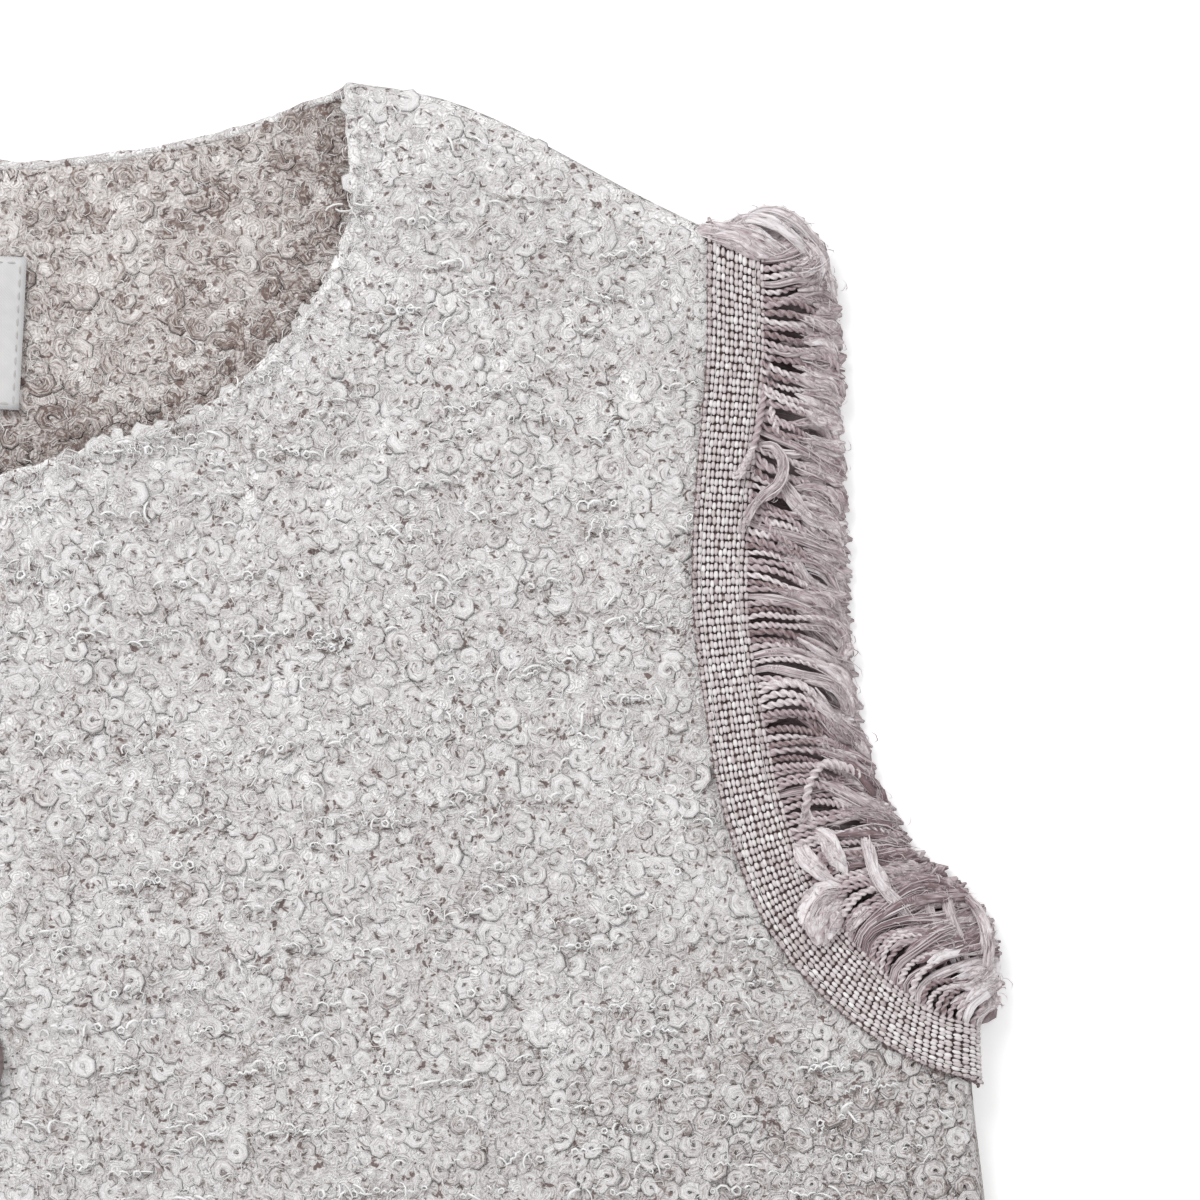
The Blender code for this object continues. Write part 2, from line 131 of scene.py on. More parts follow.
def inSteps(line, count):
    return along(line, np.linspace(0, runOf(line)[-1], count))


def farFrom(line, flat):
    # distance of each flat point from a line of points
    a, b = line[:-1], line[1:]
    ab = b - a
    best = np.full(len(flat), 1e9)
    for start, way in zip(a, ab):
        size = (way**2).sum()
        if size == 0:
            continue
        t = np.clip(((flat - start) @ way) / size, 0.0, 1.0)
        best = np.minimum(best, np.linalg.norm(start + t[:, None] * way - flat, axis=1))
    return best


def within(loop, flat):
    # which flat points are inside a closed loop of points
    x, y = flat[:, 0], flat[:, 1]
    odd = np.zeros(len(flat), dtype=bool)
    for (ax, ay), (bx, by) in zip(loop, np.roll(loop, -1, axis=0)):
        if ay == by:
            continue
        odd ^= ((ay > y) != (by > y)) & (x < ax + (y - ay) / (by - ay) * (bx - ax))
    return odd


def fade(d, reach):
    # 1 up to d = 0, falling softly to 0 at d = reach
    return 0.5 * (1 + np.cos(np.pi * np.clip(d / reach, 0.0, 1.0)))


def squareTo(line):
    # unit steps square to a flat line, to the left of the way it runs
    step = np.gradient(line, axis=0)
    return np.stack([-step[:, 1], step[:, 0]], 1) / np.linalg.norm(step, axis=1)[:, None]


def offsetLine(line, by):
    return line + by * squareTo(line)


def folded(flat):
    # the same places on the wearer's left half
    return np.stack([np.abs(flat[:, 0]), flat[:, 1]], 1)


shoulderLine = smoothLine(gilet["shoulder"])
sideLine = smoothLine(gilet["side"])


def shoulderAt(x):
    return np.interp(np.abs(x), shoulderLine[:, 0], shoulderLine[:, 1])


def sideAt(y):
    return np.interp(-np.asarray(y), -sideLine[:, 1], sideLine[:, 0])


def shoulderSeam(p):
    return shoulderAt(p) + quarter - radius


def sideSeam(q):
    return sideAt(q) + quarter - radius


def armholeLine(points, ends):
    first = (ends[0], float(shoulderSeam(ends[0])))
    last = (float(sideSeam(ends[1])), ends[1])
    return smoothLine([first] + points + [last])


armOuter = armholeLine(gilet["armOuter"], gilet["armOuterEnds"])
armInner = armholeLine(gilet["armInner"], gilet["armInnerEnds"])


# Soft creases of each front: where (p, q), which way it runs, half length, half width, height
creases = [
    (0.150, -0.072, 92, 0.026, 0.0085, -0.0022),
    (0.128, -0.060, 100, 0.030, 0.0100, 0.0012),
    (0.166, -0.085, 84, 0.040, 0.0075, 0.0012),
    (0.072, -0.106, 20, 0.020, 0.0110, -0.0012),
    (0.103, -0.132, 38, 0.034, 0.0150, 0.0015),
    (0.145, -0.222, 15, 0.022, 0.0090, -0.0016),
    (0.178, -0.214, -25, 0.024, 0.0100, -0.0018),
    (0.120, -0.240, 8, 0.034, 0.0120, 0.0013),
    (0.202, -0.258, -42, 0.036, 0.0140, -0.0022),
    (0.222, -0.282, -48, 0.034, 0.0110, 0.0014),
    (0.060, -0.190, 62, 0.036, 0.0130, 0.0010),
    (0.085, -0.330, 24, 0.050, 0.0140, -0.0016),
    (0.170, -0.345, -30, 0.055, 0.0150, 0.0017),
    (0.205, -0.395, -62, 0.048, 0.0120, -0.0018),
    (0.060, -0.430, 75, 0.045, 0.0140, 0.0014),
    (0.140, -0.470, 12, 0.060, 0.0160, -0.0016),
    (0.215, -0.500, 80, 0.040, 0.0130, 0.0014),
]


def liftOverBand(across, q):
    flat = np.stack([across, q], 1)
    lift = gilet["bandThick"] + gilet["sewGap"]
    near = farFrom(armOuter[::4], flat) - gilet["bandWide"] - gilet["sewGap"]
    return lift * fade(near, gilet["bandReach"])


def crease(p, q):
    height = np.zeros(len(p))
    for x, y, way, half, wide, rise in creases:
        c, s = math.cos(math.radians(way)), math.sin(math.radians(way))
        u = ((p - x) * c + (q - y) * s) / half
        bow = 0.25 * wide * np.sin(2.2 * u)
        v = (-(p - x) * s + (q - y) * c - bow) / wide
        height += rise * np.exp(-u**2 - v**2)
    return height


def frontLevel(p, q, lapped):
    lying = 2 * gilet["cloth"] + gilet["layGap"]
    atShoulder = fade(shoulderAt(p) - radius - q, gilet["rollReach"])
    atSide = fade(sideAt(q) - radius - p, gilet["rollReach"])
    flatPart = (1 - atShoulder) * (1 - atSide)
    level = lying + (2 * radius - lying) * (1 - flatPart)
    if lapped:
        over = gilet["cloth"] + gilet["turn"] + gilet["layGap"]
        level = level + over * fade(p - gilet["lapFlat"], gilet["lapReach"])
    nearEdge = fade(farFrom(frontNeckLine[::3], np.stack([p, q], 1)), 0.012)
    return level + crease(p, q) * flatPart * (1 - nearEdge)


def lay(flat, out, face, lapped=False):
    flat = np.asarray(flat, dtype=float)
    p, q = flat[:, 0], flat[:, 1]
    out = np.broadcast_to(np.asarray(out, dtype=float), p.shape)
    sign = np.where(p < 0, -1.0, 1.0) if face == "back" else np.ones(len(p))
    across = np.abs(p) if face == "back" else p
    overSide = np.maximum(0.0, across - sideAt(q) + radius) / radius
    overShoulder = np.maximum(0.0, q - shoulderAt(across) + radius) / radius
    overShoulder = np.where(overSide > 0, 0.0, overShoulder)
    angle = np.minimum(overSide + overShoulder, math.pi / 2)
    slip = (radius + out) * np.sin(angle) - angle * radius
    x = across + np.where(overSide > 0, slip, 0.0)
    y = q + np.where(overShoulder > 0, slip, 0.0)
    low = liftOverBand(across, q)
    rise = np.maximum((radius + out) * np.cos(angle), gilet["sewGap"] / 2)
    if face == "front":
        z = low + np.where(angle > 0, radius + rise, frontLevel(across, q, lapped) + out)
    else:
        z = low + np.where(angle > 0, radius - rise, -out)
    return np.stack([sign * x, y + top, z], 1)


def facing(flat, face, lapped=False):
    # the way the cloth's outer side looks at each flat point
    step = 0.0006
    flat = np.asarray(flat, dtype=float)
    alongP = lay(flat + [step, 0], 0.0, face, lapped) - lay(flat - [step, 0], 0.0, face, lapped)
    alongQ = lay(flat + [0, step], 0.0, face, lapped) - lay(flat - [0, step], 0.0, face, lapped)
    out = lay(flat, 0.001, face, lapped) - lay(flat, 0.0, face, lapped)
    normal = np.cross(alongP, alongQ)
    normal *= np.sign((normal * out).sum(1))[:, None]
    return normal / np.maximum(np.linalg.norm(normal, axis=1), 1e-12)[:, None]


neckX = gilet["shoulder"][0][0]


def neckLine(x, y, points):
    # from the shoulder seam, over the roll at (x, y), to the centre
    return smoothLine([(neckX, float(shoulderSeam(neckX))), (x, y)] + points)


frontNeckLine = neckLine(0.0944, float(shoulderAt(0.0944)) - radius, gilet["frontNeck"])
backNeckLine = neckLine(0.0925, float(shoulderAt(neckX)) - 0.0010, gilet["backNeck"])
hemEnd = -length + gilet["hemRise"]


def hemFrom(x, inset=0.0):
    middleX, below = gilet["hemMiddle"]
    hem = smoothLine([(x, -length + inset), (middleX, hemEnd - below + inset),
                      (float(sideSeam(hemEnd)), hemEnd + inset)])
    return evenly(hem, 0.006)


def sideToShoulder(inset):
    # up the side, round the armhole and along the shoulder
    ys = np.linspace(hemEnd + inset, gilet["armInnerEnds"][1], 60)
    arm = evenly(offsetLine(armOuter, -0.3 * inset), 0.004)
    xs = np.linspace(gilet["armInnerEnds"][0], neckX, 16)[:-1]
    return [np.stack([sideSeam(ys), ys], 1), arm[::-1], np.stack([xs, shoulderSeam(xs)], 1)]


def frontOutline(inset=0.0):
    # closed loop: centre edge, hem, side, armhole, shoulder, neck
    edgeX = -gilet["pastCentre"] + inset
    neck = evenly(offsetLine(frontNeckLine, inset)[:-1], 0.004)
    neck = neck[neck[:, 0] > edgeX]
    return np.vstack([[(edgeX, neck[-1][1])], hemFrom(edgeX, inset)[:-1], *sideToShoulder(inset), neck[:-1]])


def backOutline(inset=0.0):
    neck = evenly(offsetLine(backNeckLine, inset), 0.004)
    half = np.vstack([hemFrom(0.0, inset)[:-1], *sideToShoulder(inset), neck])
    return np.vstack([half, (half[::-1] * [-1, 1])[1:-1]])


def join(source, target):
    target.id_data.links.new(source, target)


def newMaterial(name, settings):
    mat = bpy.data.materials.new(name)
    mat.use_nodes = True
    nodes = mat.node_tree.nodes
    shader = nodes["Principled BSDF"]
    for key, value in settings.items():
        shader.inputs[key].default_value = value
    return mat, nodes, shader


def addNode(nodes, kind, **settings):
    node = nodes.new(kind)
    for key, value in settings.items():
        if key in node.inputs:
            node.inputs[key].default_value = value
        else:
            setattr(node, key, value)
    return node


def addMath(nodes, operation, *given, kind="ShaderNodeMath"):
    # each given is a number or the socket that feeds that input
    node = addNode(nodes, kind, operation=operation)
    for slot, value in zip(node.inputs, given):
        if isinstance(value, bpy.types.NodeSocket):
            join(value, slot)
        elif value is not None:
            slot.default_value = value
    return node.outputs[0]


def addVector(nodes, operation, *given):
    return addMath(nodes, operation, *given, kind="ShaderNodeVectorMath")


def uvOf(nodes):
    return addNode(nodes, "ShaderNodeUVMap", uv_map="UVMap").outputs["UV"]


def shadeOf(nodes):
    return addNode(nodes, "ShaderNodeAttribute", attribute_name="shade")


def colourBy(nodes, shader, tone, stops):
    # the shader's colour from a ramp of (place, colour) stops
    ramp = nodes.new("ShaderNodeValToRGB")
    marks = ramp.color_ramp.elements
    for mark, (place, colour) in zip(marks, (stops[0], stops[-1])):
        mark.position = place
        mark.color = (*colour, 1.0)
    for place, colour in stops[1:-1]:
        marks.new(place).color = (*colour, 1.0)
    join(tone, ramp.inputs["Fac"])
    join(ramp.outputs["Color"], shader.inputs["Base Color"])


boucle = {
    "ground": [(0.0, (0.200, 0.150, 0.140)), (0.20, (0.470, 0.418, 0.408)), (0.50, (0.745, 0.712, 0.706)),
               (1.0, (0.935, 0.920, 0.918))],
    "curl": [(0.0, (0.325, 0.266, 0.255)), (0.20, (0.538, 0.490, 0.480)), (0.50, (0.755, 0.724, 0.718)),
             (1.0, (0.940, 0.926, 0.924))],
    "inner": [(0.0, (0.215, 0.155, 0.140)), (0.25, (0.420, 0.358, 0.336)), (0.55, (0.665, 0.610, 0.586)),
              (1.0, (0.900, 0.866, 0.848))],
    # the wisps' colours; the dark end serves the flecks of painted shade
    "wisp": [(0.0, (0.150, 0.105, 0.096)), (0.30, (0.420, 0.365, 0.350)), (0.45, (0.800, 0.780, 0.776)),
             (1.0, (0.935, 0.925, 0.924))],
    "spacing": 0.0045,       # between neighbouring curls
    "swirl": 205.0,          # swirls of the ground to a metre
    "groundOut": -0.0009,    # the knitted ground lies this far under the cloth's face
    "curlOut": -0.00114,
    "innerOut": -0.0026,
    "sheen": 0.15,
    "upperEnd": -0.275,      # the upper front's finer curls stop here
    "lowerStart": -0.273,
    # how far apart and how big the curls of each part are, beside those of the upper front
    "lowerCurls": (1.72, 1.58),
    "rightCurls": (1.90, 1.62),
    "neckCurls": (1.06, 1.08),
    "backCurls": (3.0, 2.3),
}


def addUp(nodes, start, parts):
    # start plus each (value - 0.5) times its share, held between 0 and 1
    total = start - 0.5 * sum(share for _, share in parts)
    for socket, share in parts:
        total = addMath(nodes, "MULTIPLY_ADD", socket, share, total)
    hold = addNode(nodes, "ShaderNodeClamp")
    join(total, hold.inputs["Value"])
    return hold.outputs["Result"]


def fibreNoise(nodes, shade, stretchBy, distortion=0.3):
    # noise drawn out along the yarn, different on each curl or yarn
    stretch = addVector(nodes, "MULTIPLY", uvOf(nodes), (*stretchBy, 1.0))
    spread = addVector(nodes, "SCALE", shade.outputs["Vector"], None, None, 83.0)
    fibre = addNode(nodes, "ShaderNodeTexNoise", Scale=1.0, Detail=3.0, Roughness=0.62,
                    Distortion=distortion)
    join(addVector(nodes, "ADD", stretch, spread), fibre.inputs["Vector"])
    return fibre.outputs["Fac"]


def objectNoise(nodes, scale, detail=2.0, distortion=0.0):
    coords = addNode(nodes, "ShaderNodeTexCoord")
    noise = addNode(nodes, "ShaderNodeTexNoise", Scale=scale, Detail=detail, Distortion=distortion)
    join(coords.outputs["Object"], noise.inputs["Vector"])
    return noise.outputs["Fac"]


def pitShadeOf(nodes):
    # painted shade of small holes scattered between the puffs
    pitShade = addNode(nodes, "ShaderNodeMapRange", interpolation_type="SMOOTHSTEP")
    pitShade.inputs["From Min"].default_value = 0.60
    pitShade.inputs["From Max"].default_value = 0.70
    join(objectNoise(nodes, 600.0, 1.0, 0.5), pitShade.inputs["Value"])
    return pitShade.outputs["Result"]


def addBump(nodes, shader, height, depth, strength=1.0, facingShare=0.0):
    # facingShare turns the shading towards straight up, or down on the underside: fluff has no hard sides
    bump = addNode(nodes, "ShaderNodeBump", Strength=strength, Distance=depth)
    join(height, bump.inputs["Height"])
    normal = bump.outputs["Normal"]
    if facingShare:
        surface = addNode(nodes, "ShaderNodeNewGeometry")
        parts = addNode(nodes, "ShaderNodeSeparateXYZ")
        straight = addNode(nodes, "ShaderNodeCombineXYZ")
        join(surface.outputs["Normal"], parts.inputs["Vector"])
        join(addMath(nodes, "SIGN", parts.outputs["Z"]), straight.inputs["Z"])
        normal = addVector(nodes, "MULTIPLY_ADD", normal, (1 / facingShare - 1,) * 3,
                           straight.outputs["Vector"])
        normal = addVector(nodes, "NORMALIZE", normal)
    join(normal, shader.inputs["Normal"])


def curlMaterial(name, stops, level=0.575):
    # fibres run round each curl
    mat, nodes, shader = newMaterial(name, {
        "Roughness": 0.95, "Specular IOR Level": 0.10, "Sheen Weight": boucle["sheen"],
        "Sheen Roughness": 0.5})
    shade = shadeOf(nodes)
    fibre = fibreNoise(nodes, shade, (2.8, 15.0), 1.0)
    fuzz = objectNoise(nodes, 1500.0, 3.0, 0.8)
    slow = objectNoise(nodes, 60.0)
    tone = addUp(nodes, level, [(fibre, 3.0), (fuzz, 1.0), (slow, 0.6), (shade.outputs["Fac"], 0.75),
                                       (pitShadeOf(nodes), -0.40)])
    colourBy(nodes, shader, tone, stops)
    relief = addUp(nodes, 0.5, [(fibre, 1.3), (fuzz, 0.5)])
    addBump(nodes, shader, relief, 0.0011, facingShare=0.40)
    return mat


def yarnMaterial(name, stops, stretchBy, fibreShare, bumpDepth, roughness, sheen=0.2, plies=0.0, count=2,
                 crown=1 / 6):
    # a yarn: its own shade, fibres along it, and a painted highlight on the crowns of its plies with painted
    # shade between them, or on the top of a soft one
    mat, nodes, shader = newMaterial(name, {
        "Roughness": roughness, "Specular IOR Level": 0.25, "Sheen Weight": sheen})
    shade = shadeOf(nodes)
    fibre = fibreNoise(nodes, shade, stretchBy, 0.4)
    parts = [(fibre, 2.6 * fibreShare), (shade.outputs["Fac"], 1.0)]
    if plies:
        split = addNode(nodes, "ShaderNodeSeparateXYZ")
        join(uvOf(nodes), split.inputs["Vector"])
        wave = addMath(nodes, "MULTIPLY_ADD", split.outputs["Y"], 2 * math.pi * count,
                       -2 * math.pi * crown)
        parts.append((addMath(nodes, "COSINE", wave), plies))
    colourBy(nodes, shader, addUp(nodes, 0.5 + 0.25 * plies, parts), stops)
    if bumpDepth:
        addBump(nodes, shader, fibre, bumpDepth, 0.8)
    return mat


def groundMaterial(name, stops):
    # the knitted ground between the curls: swirls of fibre round small centres, with painted shade where they
    # meet, as between rounded puffs
    mat, nodes, shader = newMaterial(name, {"Roughness": 0.95, "Specular IOR Level": 0.08})
    uv = uvOf(nodes)
    warp = addNode(nodes, "ShaderNodeTexNoise", Scale=330.0, Detail=2.0)
    cells = addNode(nodes, "ShaderNodeTexVoronoi", Scale=boucle["swirl"])
    join(uv, warp.inputs["Vector"])
    drift = addVector(nodes, "MULTIPLY_ADD", warp.outputs["Color"], (0.0022, 0.0022, 0.0), uv)
    join(drift, cells.inputs["Vector"])
    away = cells.outputs["Distance"]
    rings = addMath(nodes, "SINE", addMath(nodes, "MULTIPLY", away, 46.0))
    half = addMath(nodes, "MULTIPLY_ADD", rings, 0.5, 0.5)
    # painted shade: paler in each swirl's middle, darker towards its edge
    middle = addMath(nodes, "SUBTRACT", 1.0, away)
    fuzz = objectNoise(nodes, 1500.0, 4.0, 0.6)
    slow = objectNoise(nodes, 60.0)
    tone = addUp(nodes, 0.36, [(half, 0.36), (middle, 0.60), (fuzz, 1.2), (slow, 0.6),
                                      (shadeOf(nodes).outputs["Fac"], 0.9), (pitShadeOf(nodes), -0.75)])
    colourBy(nodes, shader, tone, stops)
    addBump(nodes, shader, tone, 0.0014, facingShare=0.32)
    return mat


def shineMaterial(name):
    # thin glossy white yarn that loops out of the cloth here and there
    mat, nodes, shader = newMaterial(name, {"Roughness": 0.28, "Specular IOR Level": 0.9,
                                                   "Coat Weight": 0.4})
    shade = shadeOf(nodes)
    fibre = fibreNoise(nodes, shade, (9.0, 3.0))
    tone = addUp(nodes, 0.75, [(fibre, 0.8), (shade.outputs["Fac"], 0.4)])
    colourBy(nodes, shader, tone, [(0.0, (0.62, 0.60, 0.59)), (1.0, (0.97, 0.97, 0.97))])
    return mat


def show(piece):
    bpy.context.scene.collection.objects.link(piece)
    return piece


def clear(shapes):
    for shape in shapes:
        bpy.data.objects.remove(shape)


def meshPiece(name, bm, material):
    mesh = bpy.data.meshes.new(name)
    bm.to_mesh(mesh)
    bm.free()
    mesh.materials.append(material)
    mesh.shade_smooth()
    return bpy.data.objects.new(name, mesh)


def addPiece(name, bm, material):
    return show(meshPiece(name, bm, material))


def secondSide(bm):
    # the flat cut is the UV map, in metres; the same faces again make the other side
    uvs = bm.loops.layers.uv.new("UVMap")
    for f in bm.faces:
        for corner in f.loops:
            corner[uvs].uv = corner.vert.co.xy
    outer = bm.verts[:]
    made = bmesh.ops.extrude_face_region(bm, geom=bm.faces[:])["geom"]
    return outer, [g for g in made if isinstance(g, bmesh.types.BMVert)]


def cutsAcross(low, high, fineBelow, fineAbove, coarse, fine):
    # places to cut a panel: close together near its rolled edges
    places = [low]
    while places[-1] < high:
        here = places[-1]
        near = here < low + fineBelow or here > high - fineAbove
        places.append(here + (fine if near else coarse))
    return places[1:-1]


def offEdge(flat):
    # how far each flat point is from the rolled shoulder and side
    across = np.abs(flat[:, 0])
    return np.minimum(shoulderAt(across) - flat[:, 1], sideAt(flat[:, 1]) - across)


def paintedLight(flat):
    # the cloth is fluffier along the neck edge and the shoulder, with a painted highlight that makes it paler
    # there
    fromNeck = farFrom(frontNeckLine[::2], flat)
    atNeck = fade(fromNeck, 0.024) * np.interp(flat[:, 1], [-0.085, -0.04], [0.6, 1.0])
    # painted shade: darker low down at the side
    low = 1.2 * np.interp(flat[:, 0], [0.10, 0.19], [0.0, 1.0])     # duller low down at the side
    low = low * np.interp(flat[:, 1], [-0.25, -0.19], [1.0, 0.0])
    return np.maximum(atNeck, 0.8 * fade(shoulderAt(flat[:, 0]) - flat[:, 1], 0.022)) - 1.15 * low


def hollow(flat):
    # the back is in shadow beside the fronts' neck edge
    fromNeck = farFrom(frontNeckLine[::2], folded(flat))
    return fade(fromNeck, 0.021) * np.interp(flat[:, 1], [-0.090, -0.030], [0.75, 1.30])


def panel(name, loop, face, lapped, side, outs, material):
    bm = bmesh.new()
    paintedShadingLayer = bm.verts.layers.float.new("shade")
    rim = bm.faces.new([bm.verts.new((x, y, 0.0)) for x, y in loop])
    if rim.normal.z < 0:
        bmesh.ops.reverse_faces(bm, faces=[rim])
    low, high = loop.min(0), loop.max(0)
    sideFine = 0.036
    coarse, fine = gilet["cuts"][face]
    edge = 0.006                       # fine cuts beside a plain edge
    acrossCuts = cutsAcross(low[0], high[0], sideFine if face == "back" else edge, sideFine, coarse, fine)
    downCuts = cutsAcross(low[1], high[1], edge, 0.050, coarse, fine)
    for way, cuts in ((Vector((1, 0, 0)), acrossCuts), (Vector((0, 1, 0)), downCuts)):
        for at in cuts:
            bmesh.ops.bisect_plane(bm, geom=bm.verts[:] + bm.edges[:] + bm.faces[:], dist=1e-6,
                                   plane_co=way * at, plane_no=way)
    outer, inner = secondSide(bm)
    for verts, out in ((outer, outs[0]), (inner, outs[1])):
        flat = np.array([v.co.xy[:] for v in verts])
        # painted light and shade in the ground's colour: paler at the fronts' neck and shoulder, darker low
        # at the side, and on the back darker beside the fronts' neck edge
        litAndShadedTones = 0.5 + 0.16 * paintedLight(flat) if face == "front" else 0.46 - 0.20 * hollow(flat)
        for v, place, shade in zip(verts, lay(flat, out, face, lapped), litAndShadedTones):
            v.co = place
            v[paintedShadingLayer] = shade
    bmesh.ops.scale(bm, vec=(side, 1, 1), verts=bm.verts)
    bmesh.ops.recalc_face_normals(bm, faces=bm.faces)
    return addPiece(name, bm, material)


def tubeSection(name, points):
    # the outline that a bevelled curve is swept with
    curve = bpy.data.curves.new(name, "CURVE")
    curve.dimensions = "2D"
    ring = curve.splines.new("POLY")
    ring.points.add(len(points) - 1)
    ring.use_cyclic_u = True
    for (x, y), point in zip(points, ring.points):
        point.co = (x, y, 0, 1)
    return bpy.data.objects.new(name, curve)


def roundSection(sides, wide=1.0, high=1.0):
    turns = [2 * math.pi * (i + 0.5) / sides for i in range(sides)]
    return [(wide * math.cos(turn), high * math.sin(turn)) for turn in turns]


def takeMesh(holder, name):
    # the mesh that an object shows, once its curve or modifier is worked out
    bpy.context.view_layer.update()
    graph = bpy.context.evaluated_depsgraph_get()
    mesh = bpy.data.meshes.new_from_object(holder.evaluated_get(graph), preserve_all_data_layers=True,
                                           depsgraph=graph)
    bpy.data.objects.remove(holder)
    mesh.name = name
    return mesh


def yarnMesh(name, yarns, section, material):
    # each yarn is (points, thickness, closed, twist): one spline of a bevelled curve, made a mesh
    curve = bpy.data.curves.new(name, "CURVE")
    curve.dimensions = "3D"
    curve.twist_mode = "Z_UP"
    curve.bevel_mode = "OBJECT"
    curve.bevel_object = section
    curve.use_fill_caps = True
    for points, thick, closed, twist, *_ in yarns:
        spline = curve.splines.new("POLY")
        spline.points.add(len(points) - 1)
        spline.use_cyclic_u = closed
        spline.use_smooth = True
        co = np.concatenate([np.asarray(points), np.ones((len(points), 1))], 1)
        spline.points.foreach_set("co", co.ravel())
        spline.points.foreach_set("radius", np.broadcast_to(thick, len(points)).astype(float))
        spline.points.foreach_set("tilt", np.broadcast_to(twist, len(points)).astype(float))
    mesh = takeMesh(show(bpy.data.objects.new(name, curve)), name)
    mesh.materials.clear()
    mesh.materials.append(material)
    return bpy.data.objects.new(name, mesh)


def oneYarn(name, points, thick, closed, section, material, high=0.001):
    # a single yarn drawn in millimetres
    piece = yarnMesh(name, [(points, thick, closed, 0.0)], section, material)
    piece.data.transform(Matrix.Diagonal((0.001, 0.001, high, 1.0)))
    return piece


def spotTable(place, turned, size, kind, shade):
    return {"place": place, "turn": eulersOf(turned), "size": size,
            "kind": np.asarray(kind, dtype=np.int32), "shade": np.asarray(shade, dtype=np.float32)}


def spotsFor(place, normal, spin, tilt, side, size, kind, shade, climb=0.0):
    # what strew needs for each shape, mirrored for the wearer's right; tilt is in degrees
    heading = np.stack([np.cos(spin), np.sin(spin), climb + 0 * spin], 1)
    turned = frames(normal * [side, 1, 1], heading) @ leaning(*np.radians(tilt))
    return spotTable(place * [side, 1, 1], turned, np.hstack(size), kind, shade)


def fuzzSpots(lines, perLine, spread, size):
    # short fine hairs over the ends of soft yarns; each line is (points, half width)
    place, heading, shade = [], [], []
    for points, wide in lines:
        at = rng.integers(1, len(points) - 1, perLine)
        step = points[at] - points[at - 1]
        aside = rng.normal(0.0, spread, (perLine, 3)) * wide
        aside[:, 2] = np.abs(aside[:, 2]) * 0.7 + 0.35 * wide
        place.append(points[at] + aside)
        heading.append(step)
        shade.append(rng.uniform(0.2, 0.9, perLine))
    place, heading, shade = np.concatenate(place), np.concatenate(heading), np.concatenate(shade)
    count = len(place)
    way = np.arctan2(heading[:, 1], heading[:, 0]) + rng.normal(0.0, 0.55, count)
    up = np.tile([0.0, 0.0, 1.0], (count, 1))
    long = size * rng.normal(1.0, 0.25, (count, 1)).clip(0.5, 1.6)
    return spotsFor(place, up, way, rng.normal(0, 14, (2, count)), 1,
                    [long, long * rng.uniform(0.4, 0.9, (count, 1)), np.ones((count, 1))],
                    rng.integers(0, len(wispLines), count), shade)


def setShade(mesh, values):
    layer = mesh.attributes.new("shade", "FLOAT", "POINT")
    layer.data.foreach_set("value", np.asarray(values, dtype=np.float32))


def shadeYarns(mesh, yarns, sides, low=0.12, high=0.88):
    # one shade for each yarn; a bevelled spline gives points x sides vertices, and its two caps' own
    counts = [len(yarn[0]) * sides + (0 if yarn[2] else 2 * sides) for yarn in yarns]
    given = [yarn[4] if len(yarn) > 4 else None for yarn in yarns]
    values = [rng.uniform(low, high) if own is None else own + rng.normal(0.0, 0.05) for own in given]
    if sum(counts) == len(mesh.vertices):
        setShade(mesh, np.repeat(values, counts))
    else:
        print("shade: vertex count differs", sum(counts), len(mesh.vertices))
        setShade(mesh, np.full(len(mesh.vertices), 0.5))


def yarnPiece(name, yarns, section, material, low=0.12, high=0.88):
    piece = yarnMesh(name, yarns, section, material)
    shadeYarns(piece.data, yarns, len(section.data.splines[0].points), low, high)
    piece.data.shade_smooth()
    return show(piece)


# one curl each: turns, radius at start and end, thickness at start and end, rise, steps
curlShapes = {
    "ring": (1.0, 1.65, 1.65, 1.40, 1.40, 0.0, 8),
    "ovalRing": (1.0, 1.50, 1.95, 1.25, 1.60, 0.0, 8),
    "swirl": (1.30, 2.30, 0.85, 1.25, 0.95, 0.5, 8),
    "hook": (0.74, 2.10, 1.70, 1.30, 1.50, 0.4, 6),
    "comma": (0.98, 2.10, 1.10, 1.60, 1.10, 0.4, 7),
    "puff": (0.40, 1.30, 1.00, 2.30, 2.10, 0.3, 3),
}


def curlTemplate(name, shape, section, material, lean):
    turns, startR, endR, startThick, endThick, rise, steps = shape
    closed = turns == 1.0
    share = np.arange(steps) / steps if closed else np.linspace(0.0, 1.0, steps + 1)
    swing = share if not closed else 0.5 - 0.5 * np.cos(2 * np.pi * share)
    r = startR + (endR - startR) * swing
    thick = startThick + (endThick - startThick) * swing
    if not closed:
        thick = thick * np.where((share == 0) | (share == 1), 0.60, 1.0)
    turn = 2 * np.pi * turns * share
    height = rise * (share - 0.5) + lean * np.sin(turn * 2 + 0.6)
    points = np.stack([r * np.cos(turn), r * np.sin(turn) * 0.94, height], 1)
    piece = oneYarn(name, points, thick, closed, section, material, 0.00042)
    piece.data.shade_smooth()
    return piece


def eulersOf(turned):
    # XYZ angles of a stack of rotation matrices
    x = np.arctan2(turned[:, 2, 1], turned[:, 2, 2])
    y = -np.arcsin(turned[:, 2, 0].clip(-1, 1))
    z = np.arctan2(turned[:, 1, 0], turned[:, 0, 0])
    return np.stack([x, y, z], 1)


def frames(normal, heading):
    # rotation matrices with Z on each normal and X as near as can be to each heading
    heading = heading - normal * (heading * normal).sum(1)[:, None]
    heading = heading / np.maximum(np.linalg.norm(heading, axis=1), 1e-9)[:, None]
    return np.stack([heading, np.cross(normal, heading), normal], 2)


